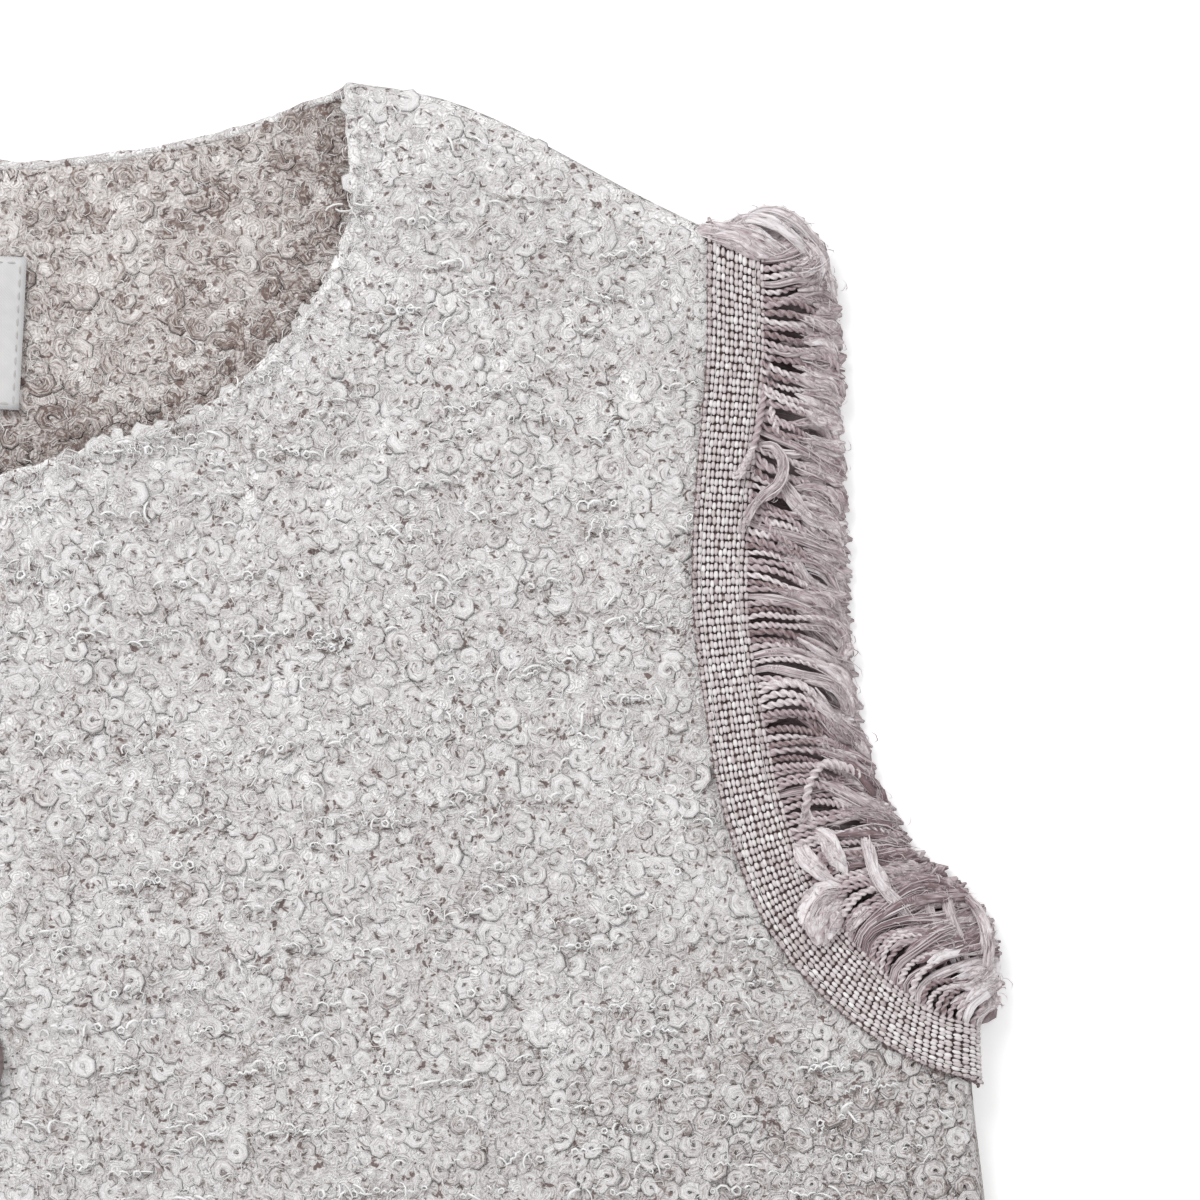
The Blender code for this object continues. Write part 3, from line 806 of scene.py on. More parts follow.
def leaning(tiltX, tiltY):
    cx, sx, cy, sy = np.cos(tiltX), np.sin(tiltX), np.cos(tiltY), np.sin(tiltY)
    zero, one = np.zeros_like(cx), np.ones_like(cx)
    aboutX = np.stack([one, zero, zero, zero, cx, -sx, zero, sx, cx], 1).reshape(-1, 3, 3)
    aboutY = np.stack([cy, zero, sy, zero, one, zero, -sy, zero, cy], 1).reshape(-1, 3, 3)
    return aboutX @ aboutY


def spotMesh(name, spots):
    # a loose point for each curl, with the attributes that place it
    mesh = bpy.data.meshes.new(name)
    mesh.from_pydata([tuple(v) for v in spots["place"]], [], [])
    for key, kind, field in (("turn", "FLOAT_VECTOR", "vector"), ("size", "FLOAT_VECTOR", "vector"),
                             ("kind", "INT", "value"), ("shade", "FLOAT", "value")):
        layer = mesh.attributes.new(key, kind, "POINT")
        layer.data.foreach_set(field, np.ascontiguousarray(spots[key]).ravel())
    return mesh


def strewTree(shapes):
    tree = bpy.data.node_groups.new("strew", "GeometryNodeTree")
    tree.interface.new_socket("Geometry", in_out="INPUT", socket_type="NodeSocketGeometry")
    tree.interface.new_socket("Geometry", in_out="OUTPUT", socket_type="NodeSocketGeometry")
    nodes = tree.nodes
    given = nodes.new("NodeGroupInput")
    result = nodes.new("NodeGroupOutput")

    def attribute(name, kind):
        node = nodes.new("GeometryNodeInputNamedAttribute")
        node.data_type = kind
        node.inputs["Name"].default_value = name
        return node.outputs["Attribute"]

    turned = nodes.new("FunctionNodeEulerToRotation")
    join(attribute("turn", "FLOAT_VECTOR"), turned.inputs["Euler"])
    pick = nodes.new("GeometryNodeCollectionInfo")
    pick.inputs["Collection"].default_value = shapes
    pick.inputs["Separate Children"].default_value = True
    pick.inputs["Reset Children"].default_value = True
    instance = nodes.new("GeometryNodeInstanceOnPoints")
    instance.inputs["Pick Instance"].default_value = True
    join(given.outputs[0], instance.inputs["Points"])
    join(pick.outputs[0], instance.inputs["Instance"])
    join(attribute("kind", "INT"), instance.inputs["Instance Index"])
    join(turned.outputs["Rotation"], instance.inputs["Rotation"])
    join(attribute("size", "FLOAT_VECTOR"), instance.inputs["Scale"])
    realize = nodes.new("GeometryNodeRealizeInstances")
    join(instance.outputs["Instances"], realize.inputs["Geometry"])
    join(realize.outputs["Geometry"], result.inputs[0])
    return tree


def strew(name, spots, shapes):
    # instances of the shapes on the spots, realized and applied
    group = bpy.data.collections.new(name + "_shapes")
    for shape in shapes:
        group.objects.link(shape)
    holder = show(bpy.data.objects.new(name, spotMesh(name + "_spots", spots)))
    modifier = holder.modifiers.new("strew", "NODES")
    modifier.node_group = strewTree(group)
    mesh = takeMesh(holder, name)
    bpy.data.collections.remove(group)
    for spare in ("turn", "size", "kind"):
        if spare in mesh.attributes:
            mesh.attributes.remove(mesh.attributes[spare])
    return show(bpy.data.objects.new(name, mesh))


def hexSpots(loop, spacing, jitter=0.24):
    # a jittered staggered grid of flat points inside a loop
    low, high = loop.min(0), loop.max(0)
    rowStep = spacing * math.sqrt(0.75)
    rows = int((high[1] - low[1]) / rowStep) + 1
    columns = int((high[0] - low[0]) / spacing) + 2
    column, row = np.meshgrid(np.arange(columns), np.arange(rows))
    x = low[0] + (column + 0.5 * (row % 2)) * spacing
    y = low[1] + (row + 0.5) * rowStep
    flat = np.stack([x.ravel(), y.ravel()], 1)
    flat = flat + rng.normal(0.0, jitter * spacing, flat.shape).clip(-0.42 * spacing, 0.42 * spacing)
    return flat[within(loop, flat)]


def curlSpots(flat, out, face, lapped, side, weights, lean=8.0, grow=1.0, inside=False):
    count = len(flat)
    paintedLit = paintedLight(flat) if face == "front" else np.zeros(count)
    place = lay(flat, out - 0.00030 * paintedLit + rng.uniform(-0.00026, 0.00026, count), face, lapped)
    normal = facing(flat, face, lapped) * (-1 if inside else 1)
    spin = rng.uniform(0.0, 2 * math.pi, count)
    tilt = rng.normal(0.0, lean / grow, (2, count)).clip(-20, 20)
    size = grow * rng.normal(1.0, 0.13, (count, 1)).clip(0.66, 1.32)
    tallest = 0.85 if face == "back" and not inside else 1.1     # pressed flat where it's lain on
    # curls near the neck and shoulder take the painted highlight, those low at the side the painted shade
    return spotsFor(place, normal, spin, tilt, side,
                    [size, size * rng.uniform(0.86, 1.0, (count, 1)), np.minimum(size, tallest)],
                    rng.choice(len(weights), count, p=weights), rng.beta(2.6, 2.0, count) + 0.28 * paintedLit)


def edgeSpots(line, face, lapped, side, weights, spacing):
    # two rows of curls that wrap a finished edge, turned over it by so many degrees
    roll = 0.0016
    rows = []
    for turn in (30, 85):
        flat = evenly(line, spacing * rng.uniform(0.92, 1.08))
        flat = flat + rng.normal(0, 0.0004, flat.shape)
        count = len(flat)
        inner = flat + squareTo(flat) * roll
        centre = lay(inner, -roll, face, lapped)
        over = lay(flat, -roll, face, lapped) - centre
        over /= np.linalg.norm(over, axis=1)[:, None]
        angle = np.radians(turn + rng.normal(0, 9, count))[:, None]
        normal = facing(inner, face, lapped) * np.cos(angle) + over * np.sin(angle)
        spin = rng.uniform(0, 2 * math.pi, count)
        tilt = rng.normal(0.0, 14.0, (2, count))
        size = 0.95 * rng.normal(1.0, 0.12, (count, 1)).clip(0.7, 1.3)
        rows.append(spotsFor(centre + normal * (roll - 0.0008), normal, spin, tilt, side, [size] * 3,
                             rng.choice(len(weights), count, p=weights), rng.beta(3.0, 1.8, count),
                             climb=0.3 * np.sin(3 * spin)))
    return joinSpots(*rows)


def wispSpots(flat, face, lapped, low, high, dark, inside=False):
    # fine hairs that bridge the curls; a share of them are short dark flecks, painted shade in the gaps
    count = len(flat)
    place = lay(flat, rng.uniform(low, high, count), face, lapped)
    normal = facing(flat, face, lapped) * (-1 if inside else 1)
    isShadeFleck = rng.uniform(size=count) < dark
    spin = np.where(isShadeFleck, rng.normal(0.0, 0.6, count), rng.uniform(0.0, 2 * math.pi, count))
    tilt = rng.normal(0.0, 10.0, (2, count))
    shade = np.where(isShadeFleck, rng.uniform(-0.1, 0.30, count), rng.uniform(0.26, 1.0, count))
    long = rng.normal(1.0, 0.22, (count, 1)).clip(0.5, 1.6)
    kind = np.where(isShadeFleck, len(wispLines), rng.integers(0, len(wispLines), count))
    return spotsFor(place, normal, spin, tilt, 1,
                    [long, long * rng.uniform(0.7, 1.2, (count, 1)), np.ones((count, 1))], kind, shade)


def wispTemplate(name, line, thick, material):
    # a hair that tapers to a point at both ends, in a few triangles
    points = np.array(line) * 0.001
    bm = bmesh.new()
    rings = []
    for i in range(1, len(points) - 1):
        way = points[i + 1] - points[i - 1]
        across = np.array([-way[1], way[0], 0.0]) / max(math.hypot(way[0], way[1]), 1e-9)
        rings.append([bm.verts.new(points[i] + thick * (across * math.cos(a) + np.array([0, 0, math.sin(a)])))
                      for a in (math.pi / 2, math.pi * 7 / 6, math.pi * 11 / 6)])
    first, last = bm.verts.new(points[0]), bm.verts.new(points[-1])
    for i in range(3):
        j = (i + 1) % 3
        bm.faces.new([first, rings[0][j], rings[0][i]])
        bm.faces.new([last, rings[-1][i], rings[-1][j]])
        for here, ahead in zip(rings, rings[1:]):
            bm.faces.new([here[i], here[j], ahead[j], ahead[i]])
    bmesh.ops.recalc_face_normals(bm, faces=bm.faces)
    uv = bm.loops.layers.uv.new("UVMap")
    for face in bm.faces:
        for loop in face.loops:
            loop[uv].uv = (loop.vert.co.x * 400, loop.vert.co.y * 400)
    return meshPiece(name, bm, material)


def wispSet(prefix, thick, material):
    return [wispTemplate(f"{prefix}{i}", wispLines[n], thick, material)
            for i, n in enumerate(sorted(wispLines))]


def joinSpots(*parts):
    return {key: np.concatenate([part[key] for part in parts]) for key in parts[0]}


print("gilet: materials")
groundMat = groundMaterial("boucleGround", boucle["ground"])
# the back and the curls seen inside the neck are darker and warmer: partly the cloth's wrong side, partly
# painted shade inside the neck opening
backMat = groundMaterial("boucleBackGround", boucle["inner"])
curlMat = curlMaterial("boucleCurl", boucle["curl"])
innerMat = curlMaterial("boucleInnerCurl", boucle["inner"], 0.31)
wispMat = yarnMaterial("boucleWisp", boucle["wisp"], (3.0, 1.0), 0.12, 0.0, 0.8)
shineMat = shineMaterial("shineYarn")

print("gilet: ground cloth")
frontLoop = frontOutline()
backLoop = backOutline()
wall = (boucle["groundOut"], boucle["innerOut"])
leftFront = ("front", True, 1)         # face, whether it lies on the other front, side
rightFront = ("front", False, -1)
wholeBack = ("back", False, 1)
inset = gilet["panelInset"]
panels = {
    "front_left": panel("boucle_front_left", frontOutline(inset), *leftFront, wall, groundMat),
    "front_right": panel("boucle_front_right", frontOutline(inset), *rightFront, wall, groundMat),
    "back": panel("boucle_back", backOutline(inset), *wholeBack, (-0.0011, -0.0019), backMat),
}

print("gilet: curls")
domed = [(1.0, -0.10), (0.58, 0.74), (-0.58, 0.74), (-1.0, -0.10)]
fine = tubeSection("curlSection", domed)
plain = tubeSection("plainSection", [(1.0, -0.15), (0.0, 0.95), (-1.0, -0.15)])
names = sorted(curlShapes)
share = {"comma": 0.24, "hook": 0.12, "ovalRing": 0.08, "puff": 0.30, "ring": 0.04, "swirl": 0.22}
weights = [share[n] for n in names]
softer = [{"comma": 0.30, "hook": 0.14, "puff": 0.36, "swirl": 0.20}.get(n, 0.0) for n in names]


def curlSet(prefix, section, material, fewer, thicker=1.0):
    # the same shapes in fewer steps serve the parts of the cloth away from the neck and armhole
    made = []
    for i, n in enumerate(names):
        turns, r0, r1, t0, t1, rise, steps = curlShapes[n]
        shape = (turns, r0, r1, t0 * thicker, t1 * thicker, rise, max(3, steps - fewer))
        made.append(curlTemplate(f"{prefix}{i}_{n}", shape, section, material, 0.22))
    return made


def clearOfBand(flat, by=0.0):
    # which flat points are off the band, or further off it by some distance
    return farFrom(armOuter, folded(flat)) > gilet["bandWide"] - 0.0004 + by


fineCurls = curlSet("a", fine, curlMat, 0)
innerCurls = curlSet("b", fine, innerMat, 0)
plainCurls = curlSet("c", plain, curlMat, 3, 1.06)
backCurls = curlSet("d", plain, curlMat, 1, 1.0)
out = boucle["curlOut"]
offOutline = 0.0024                     # curls keep this far inside the rolled edges
flat = hexSpots(frontLoop, boucle["spacing"])
flat = flat[clearOfBand(flat) & (offEdge(flat) > offOutline)]
upper = flat[:, 1] > boucle["upperEnd"]
centreEdge = np.array([(-gilet["pastCentre"], frontNeckLine[-1][1] - 0.002), (-gilet["pastCentre"], -length)])
hemEdge = hemFrom(-gilet["pastCentre"])
curlsUpper = strew("boucle_curls_front_left_upper", curlSpots(flat[upper], out, *leftFront, weights),
                   fineCurls)
apart, grow = boucle["lowerCurls"]
flat = hexSpots(frontLoop, boucle["spacing"] * apart)
flat = flat[(flat[:, 1] < boucle["lowerStart"]) & (offEdge(flat) > offOutline)]
lowerSpots = [curlSpots(flat, out, *leftFront, weights, grow=grow),
              edgeSpots(centreEdge, *leftFront, weights, 0.0046),
              edgeSpots(hemEdge, *leftFront, weights, 0.0046)]
curlsLower = strew("boucle_curls_front_left_lower", joinSpots(*lowerSpots), plainCurls)
apart, grow = boucle["rightCurls"]
flat = hexSpots(frontLoop, boucle["spacing"] * apart)
flat = flat[clearOfBand(flat) & (flat[:, 0] > 0.017) & (offEdge(flat) > offOutline)]
rightSpots = [curlSpots(flat, out, *rightFront, weights, grow=grow),
              edgeSpots(hemEdge, *rightFront, weights, 0.0048)]
curlsRight = strew("boucle_curls_front_right", joinSpots(*rightSpots), plainCurls)

# the back's inner side, as far as the neck opening shows it, and its outer side
halfHole = np.vstack([backNeckLine, [(0.0, -0.112)], offsetLine(frontNeckLine, 0.007)[::-1][22:]])
apart, grow = boucle["neckCurls"]
flat = hexSpots(halfHole, boucle["spacing"] * apart)
flat = np.vstack([flat, flat * [-1, 1]])
fromEdge = farFrom(backNeckLine, folded(flat))
flat = flat[(fromEdge > 0.0023) & (shoulderAt(flat[:, 0]) - flat[:, 1] > 0.004)]
innerSpots = curlSpots(flat, -0.00172, *wholeBack, softer, lean=6.0, grow=grow, inside=True)
# painted shade: the inner back's curls are darker beside the fronts' neck edge
innerSpots["shade"] = np.maximum(innerSpots["shade"] - 0.60 * hollow(flat), 0.12).astype(np.float32)
curlsNeck = strew("boucle_curls_inner_neck", innerSpots, innerCurls)
apart, grow = boucle["backCurls"]
flat = hexSpots(backLoop, boucle["spacing"] * apart)
flat = flat[clearOfBand(flat) & (offEdge(flat) > 0.0095) & (farFrom(backLoop, flat) > 0.0065)]
backSpots = curlSpots(flat, -0.0012, *wholeBack, weights, lean=1, grow=grow)
curlsBack = strew("boucle_curls_back", backSpots, backCurls)
clear(fineCurls + innerCurls + plainCurls + backCurls)


def edgeRoll(name, line, inset, depth, thick, face, lapped, sides, shade):
    # the soft rolled edge of the neck: a thick uneven cord of the same cloth
    yarns = []
    flat = evenly(offsetLine(line, inset), 0.0016)
    for side in sides:
        place = lay(flat, depth, face, lapped) * [side, 1, 1]
        lumps = np.convolve(rng.normal(0.0, 0.5, len(flat) + 2), (0.5, 1.0, 0.5), "valid") * 0.26
        yarns.append((place, thick * (1 + lumps.clip(-0.26, 0.24)), False, 0.0))
    piece = yarnMesh(name, yarns, rollSection, groundMat)
    mesh = piece.data
    setShade(mesh, np.full(len(mesh.vertices), shade))
    for loop, corner in zip(mesh.loops, mesh.uv_layers["UVMap"].data):
        place = mesh.vertices[loop.vertex_index].co
        corner.uv = (place.x + place.z, place.y - top)
    mesh.shade_smooth()
    return show(piece)


rollSection = tubeSection("rollSection", roundSection(9))
frontRoll = (frontNeckLine[2:-2], 0.0011, -0.0019, 0.00155)
# the fronts' rolls take paler shades, a painted highlight along the neck edge
rollLeft = edgeRoll("boucle_roll_front_left", *frontRoll, "front", True, (1,), 0.74)
rollRight = edgeRoll("boucle_roll_front_right", *frontRoll, "front", False, (-1,), 0.60)
rollBack = edgeRoll("boucle_roll_back", backNeckLine[3:], 0.0012, -0.0014, 0.00108, "back", False, (1, -1),
                    0.46)

wispLines = {
    # arcs about a curl's middle, and two straighter hairs
    "arc": [(1.7, -1.1, -0.2), (2.1, 0.35, 0.25), (1.25, 1.65, 0.3), (-0.25, 2.0, -0.1)],
    "innerArc": [(1.3, -0.5, -0.1), (1.2, 0.65, 0.35), (0.2, 1.35, 0.35), (-0.95, 1.0, 0.0)],
    "outerArc": [(2.5, -0.7, -0.3), (2.5, 0.65, 0.15), (1.75, 1.9, 0.15), (0.5, 2.55, -0.3)],
    "wave": [(-2.2, 0.1, -0.2), (-0.8, -0.35, 0.2), (0.7, 0.35, 0.2), (2.2, 0.0, -0.2)],
}
# the short thick flecks of painted shade
shadeFleckLine = [(-0.95, 0.0, -0.15), (-0.35, 0.10, 0.12), (0.35, -0.06, 0.12), (0.95, 0.05, -0.15)]
wisps = wispSet("wisp", 0.00014, wispMat)
wisps.append(wispTemplate(f"wisp{len(wispLines)}", shadeFleckLine, 0.00019, wispMat))
rowsAt = hexSpots(frontLoop, 0.0170, 0.4)
rowsAt = rowsAt[clearOfBand(rowsAt, 0.005) & (rowsAt[:, 1] > -0.270) & (offEdge(rowsAt) > 0.008)]
inRow = (rng.uniform(0.0022, 0.0030, (len(rowsAt), 1)) * (np.arange(4) - 1.5)).ravel()
shineRows = np.repeat(rowsAt, 4, axis=0) + np.column_stack([inRow, 0.12 * inRow])
shineRows = shineRows + rng.normal(0.0, 0.0004, shineRows.shape)
middles = hexSpots(frontLoop, boucle["spacing"] * 1.02, 0.12)
middles = middles[clearOfBand(middles, 0.001) & (middles[:, 1] > boucle["upperEnd"])
                  & (offEdge(middles) > 0.0045)]
flat = np.repeat(middles, 3, axis=0)
flat = flat + rng.normal(0.0, 0.00035, flat.shape)
outline = evenly(frontNeckLine[8:], 0.00050)
outline = offsetLine(outline, 0.0024) + rng.normal(0.0, 0.0010, outline.shape)
hairs = [wispSpots(flat, "front", True, -0.0006, -0.0001, 0.24),
         # painted shadows: dark flecks just below each row of shiny loops
         wispSpots(shineRows + [0.0002, -0.0012], "front", True, -0.0003, 0.0, 1.0),
         wispSpots(outline, "front", True, -0.0009, 0.0002, 0.0)]
wispsFront = strew("wisps_front_left", joinSpots(*hairs), wisps)
flat = np.repeat(hexSpots(halfHole, 0.0050, 0.2), 3, axis=0)
flat = flat + rng.normal(0.0, 0.0004, flat.shape)
flat = flat[(farFrom(backNeckLine, flat) > 0.002) & (shoulderAt(flat[:, 0]) - flat[:, 1] > 0.005)]
flat = np.vstack([flat, flat * [-1, 1]])
wispsInner = strew("wisps_inner_neck", wispSpots(flat, "back", False, -0.0024, -0.0018, 0.3, True), wisps)
clear(wisps)

# thin shiny yarn: small rings, arcs and ripples that stand out of the cloth
shine = {
    "loops": 0.0150,        # spacing of single loops
    "thick": 0.35,
}
loopLines = {
    "arc": [(-1.5, -0.2, -0.4), (-1.1, 0.7, 0.3), (0.0, 1.1, 0.6), (1.1, 0.7, 0.3), (1.5, -0.2, -0.4)],
    "bow": [(-2.0, 0.2, -0.4), (-1.0, 0.55, 0.4), (0.2, 0.5, 0.5), (1.3, 0.1, 0.3), (2.0, -0.4, -0.4)],
    "eye": [(-0.9, 0.0, 0.2), (-0.3, 0.85, 0.4), (0.7, 0.6, 0.4), (0.9, -0.4, 0.3), (0.0, -0.8, 0.3),
            (-0.8, -0.3, 0.0)],
    "ripple": [(-2.6, 0.0, -0.3), (-1.9, 0.5, 0.4), (-1.1, -0.2, 0.2), (-0.3, 0.55, 0.5), (0.6, -0.1, 0.3),
               (1.4, 0.5, 0.5), (2.3, 0.0, -0.3)],
}


def shineSpots(flat, side, lapped):
    count = len(flat)
    place = lay(flat, rng.uniform(-0.0002, 0.0003, count), "front", lapped)
    normal = facing(flat, "front", lapped)
    spin = rng.normal(0.0, 0.7, count)
    tilt = rng.normal(0.0, 18.0, (2, count))
    size = 0.84 * rng.normal(1.0, 0.18, (count, 1)).clip(0.6, 1.4)
    return spotsFor(place, normal, spin, tilt, side,
                    [size, size * rng.uniform(0.7, 1.15, (count, 1)), size],
                    rng.integers(0, len(loopLines), count), rng.uniform(0.2, 1.0, count))


threadSection = tubeSection("threadSection", roundSection(3))
loops = []
for i, n in enumerate(sorted(loopLines)):
    loop = oneYarn(f"loop{i}", np.array(loopLines[n]), shine["thick"], n == "eye", threadSection, shineMat)
    loop.data.shade_smooth()
    loops.append(loop)
flat = hexSpots(frontLoop, shine["loops"], 0.4)
flat = flat[clearOfBand(flat, 0.001) & (offEdge(flat) > 0.005)]
shineLeft = strew("shine_loops_front_left", shineSpots(np.vstack([flat, shineRows]), 1, True), loops)
flat = hexSpots(frontLoop, shine["loops"] * 1.5, 0.4)
flat = flat[clearOfBand(flat, 0.001) & (flat[:, 0] > 0.018)]
shineRight = strew("shine_loops_front_right", shineSpots(flat, -1, False), loops)
clear(loops)

band = {
    "ribPitch": 0.00183,
    "columns": 13,
    "selvage": 0.0007,
    "margin": 0.0007,          # from each edge of the band to the first column of floats
    # the strip under the floats: its dark end is painted shade in the gaps between rows
    "groove": [(0.0, (0.080, 0.050, 0.050)), (0.35, (0.180, 0.126, 0.128)), (1.0, (0.560, 0.480, 0.486))],
    "float": [(0.0, (0.350, 0.270, 0.280)), (0.5, (0.660, 0.596, 0.600)), (1.0, (0.940, 0.922, 0.920))],
    "stitch": (0.84, 0.82, 0.80),
    "stitchAt": (0.17, 0.83),  # shares of the way from the free edge to the sewn one
    "selvageAt": 0.975,
    "ribRise": (-0.00032, 0.00012),
}
bandRun = 0.5 * (runOf(armOuter)[-1] + runOf(armInner)[-1])
ribs = round(bandRun / band["ribPitch"])


def bandPairs():
    # where each row starts on the free edge and ends on the cloth's: square across the band, but in
    # line with the seams at its two ends
    starts = np.linspace(0.0, runOf(armOuter)[-1], 160)
    fine = evenly(armInner, 0.0005)
    fineRun = runOf(fine)
    square = [fineRun[np.argmin(np.linalg.norm(fine - point, axis=1))] for point in along(armOuter, starts)]
    inLine = starts / starts[-1] * fineRun[-1]
    fromEnd = np.minimum(starts, starts[-1] - starts)
    atEnds = fade(np.maximum(fromEnd - quarter, 0.0), 0.055)
    ends = np.maximum.accumulate(inLine * atEnds + np.array(square) * (1 - atEnds))
    return starts, ends


rowStarts, rowEnds = bandPairs()
rowMiddles = 0.35 * rowStarts + 0.65 * rowEnds


def startOf(w):
    # how far along the free edge a row starts: the rows are evenly apart nearer the sewn edge
    turned = quarter / bandRun
    low, high = np.interp([quarter, rowStarts[-1] - quarter], rowStarts, rowMiddles)
    middle = np.interp(w, [0.0, turned, 1 - turned, 1.0], [0.0, low, high, rowMiddles[-1]])
    return np.interp(middle, rowMiddles, rowStarts)


def bandFlat(w, t):
    # a point of the band: w from the shoulder seam to the side seam, t from its free edge inwards
    start = startOf(w)
    free, sewn = along(armOuter, start), along(armInner, np.interp(start, rowStarts, rowEnds))
    t = np.asarray(t, dtype=float).reshape(-1, 1)
    return free * (1 - t) + sewn * t


def bandPoint(w, t, out, face, side=1):
    w, t = np.broadcast_arrays(np.atleast_1d(w).astype(float), np.atleast_1d(t).astype(float))
    place = lay(bandFlat(w, t), out, face)
    return place * [side, 1, 1]


def bandFrame(w, t, face, side):
    # rotation matrices with X along the band and Z off its face
    ahead = bandPoint(np.clip(w + 0.002, 0, 1), t, 0.001, face, side)
    behind = bandPoint(np.clip(w - 0.002, 0, 1), t, 0.001, face, side)
    above = bandPoint(w, t, 0.002, face, side) - bandPoint(w, t, 0.001, face, side)
    normal = above / np.linalg.norm(above, axis=1)[:, None]
    return frames(normal, ahead - behind)


def bandMaterials():
    groove, nodes, shader = newMaterial("bandGround", {"Roughness": 0.85,
                                                              "Specular IOR Level": 0.15})
    tone = addUp(nodes, 0.45, [(shadeOf(nodes).outputs["Fac"], 0.9),
                                      (objectNoise(nodes, 900.0, 3.0), 0.6)])
    colourBy(nodes, shader, tone, band["groove"])
    return groove, yarnMaterial("bandFloat", band["float"], (3.0, 9.0), 0.34, 0.00008, 0.62)


def bandBase(name, side, material):
    # a closed ribbed strip all round the armhole: up the front, then down the back
    low = gilet["sewGap"]
    high = low + gilet["bandThick"] - 0.00045
    stations = np.linspace(1.0, 0.0, ribs * 2 + 1)
    rise = np.where(np.arange(len(stations)) % 2 == 0, *band["ribRise"])
    loops = [(w, high + r, "front") for w, r in zip(stations, rise)]
    loops += [(w, high + r, "back") for w, r in zip(stations[::-1][1:-1], rise[1:-1])]
    ts = np.linspace(0.0, 1.0, 5)
    across = np.concatenate([ts, ts[::-1]])
    bm = bmesh.new()
    paintedShadingLayer = bm.verts.layers.float.new("shade")
    rings = []
    for k, (w, out, face) in enumerate(loops):
        outs = np.where(np.arange(10) < 5, out, low)
        uneven = np.where(across == 1.0, 0.013 * (-1) ** k + rng.normal(0.0, 0.005), 0.0)
        points = bandPoint(w, across + uneven, outs, face, side)
        rings.append([bm.verts.new(v) for v in points])
        for v, t in zip(rings[-1], across):
            # painted shade: dark in the gaps between rows of floats, mid mauve at each rib's middle, the
            # strip's edges between
            v[paintedShadingLayer] = 0.30 + 0.4 * (k % 2) if t in (0.0, 1.0) else k % 2
    for here, ahead in zip(rings, rings[1:] + rings[:1]):
        for i in range(10):
            j = (i + 1) % 10
            bm.faces.new([here[i], here[j], ahead[j], ahead[i]])
    bmesh.ops.recalc_face_normals(bm, faces=bm.faces)
    return addPiece(name, bm, material)


def floatTemplate(name, material, rounded):
    bm = bmesh.new()
    if rounded:
        bmesh.ops.create_icosphere(bm, subdivisions=1, radius=1.0, calc_uvs=True)
    else:
        bmesh.ops.create_cube(bm, size=1.7, calc_uvs=True)
        upper = [v for v in bm.verts if v.co.z > 0]
        bmesh.ops.scale(bm, vec=(0.72, 0.66, 1.0), verts=upper)
    bmesh.ops.scale(bm, vec=(0.00104, 0.00056, 0.00054), verts=bm.verts)
    return meshPiece(name, bm, material)


def floatSpots(face, side):
    rows = (np.arange(ribs) + 0.5) / ribs
    ts = np.linspace(band["margin"], gilet["bandWide"] - band["selvage"], band["columns"]) / gilet["bandWide"]
    w, t = (grid.ravel() for grid in np.meshgrid(rows, ts, indexing="ij"))
    count = len(w)
    row, column = (grid.ravel() for grid in np.meshgrid(np.arange(ribs), np.arange(len(ts)), indexing="ij"))
    w = w + (0.055 * (-1.0) ** column + rng.normal(0.0, 0.05, count)) / ribs
    t = t + rng.normal(0.0, 0.008, count)
    out = gilet["sewGap"] + gilet["bandThick"] - 0.00012 + rng.uniform(-0.00005, 0.00007, count)
    out = out - (0.0007 if face == "back" else 0.0)
    place = bandPoint(w, t, out, face, side)
    tilt = np.radians(rng.normal(0.0, 7.0, (2, count)))
    # neighbouring floats take turns to be pale and mauve
    shade = np.where((row + column) % 2 == 0, 0.68, 0.54) + rng.normal(0.0, 0.10, count)
    shade = shade - 0.16 * np.isin(column, (0, 1, len(ts) - 1))
    size = rng.normal(1.0, 0.07, (count, 3)).clip(0.8, 1.2)
    reach = bandPoint(w + 0.5 / ribs, t, out, face, side) - bandPoint(w - 0.5 / ribs, t, out, face, side)
    size[:, 0] *= (np.linalg.norm(reach, axis=1) / band["ribPitch"]).clip(0.5, 1.5)
    return spotTable(place, bandFrame(w, t, face, side) @ leaning(*tilt), size, np.zeros(count),
                     shade.clip(0.05, 0.95))


def selvageSpots(face, side):
    # one small loop near the sewn edge for each rib
    w = (np.arange(ribs) + 0.5) / ribs + rng.normal(0.0, 0.08, ribs) / ribs
    t = np.full(ribs, band["selvageAt"]) + rng.normal(0.0, 0.010, ribs)
    turned = bandFrame(w, t, face, side) @ leaning(*np.radians(rng.normal(0.0, 14.0, (2, ribs))))
    out = 0.00160 if face == "front" else 0.00075
    return spotTable(bandPoint(w, t, out, face, side), turned,
                     rng.normal(1.0, 0.14, (ribs, 3)).clip(0.7, 1.3), np.zeros(ribs),
                     rng.uniform(0.15, 0.45, ribs))


def bandStitches(name, side, section, material):
    yarns = []
    for face in ("front", "back"):
        for t in band["stitchAt"]:
            w = np.linspace(0.002, 0.998, ribs * 2)
            out = gilet["sewGap"] + gilet["bandThick"] + 0.00012 * np.cos(np.pi * np.arange(len(w)))
            out = out - (0.0005 if face == "back" else 0.0)
            drift = t + 0.012 * np.sin(w * 41 + 7 * t) + rng.normal(0.0, 0.006, len(w))
            yarns.append((bandPoint(w, drift, out, face, side), 0.00016, False, 0.0))
    return show(yarnMesh(name, yarns, section, material))


def plainThread(name, colour):
    mat, nodes, shader = newMaterial(name, {"Roughness": 0.5})
    colourBy(nodes, shader, objectNoise(nodes, 1400.0),
             [(0.0, tuple(c * 0.7 for c in colour)), (1.0, colour)])
    return mat


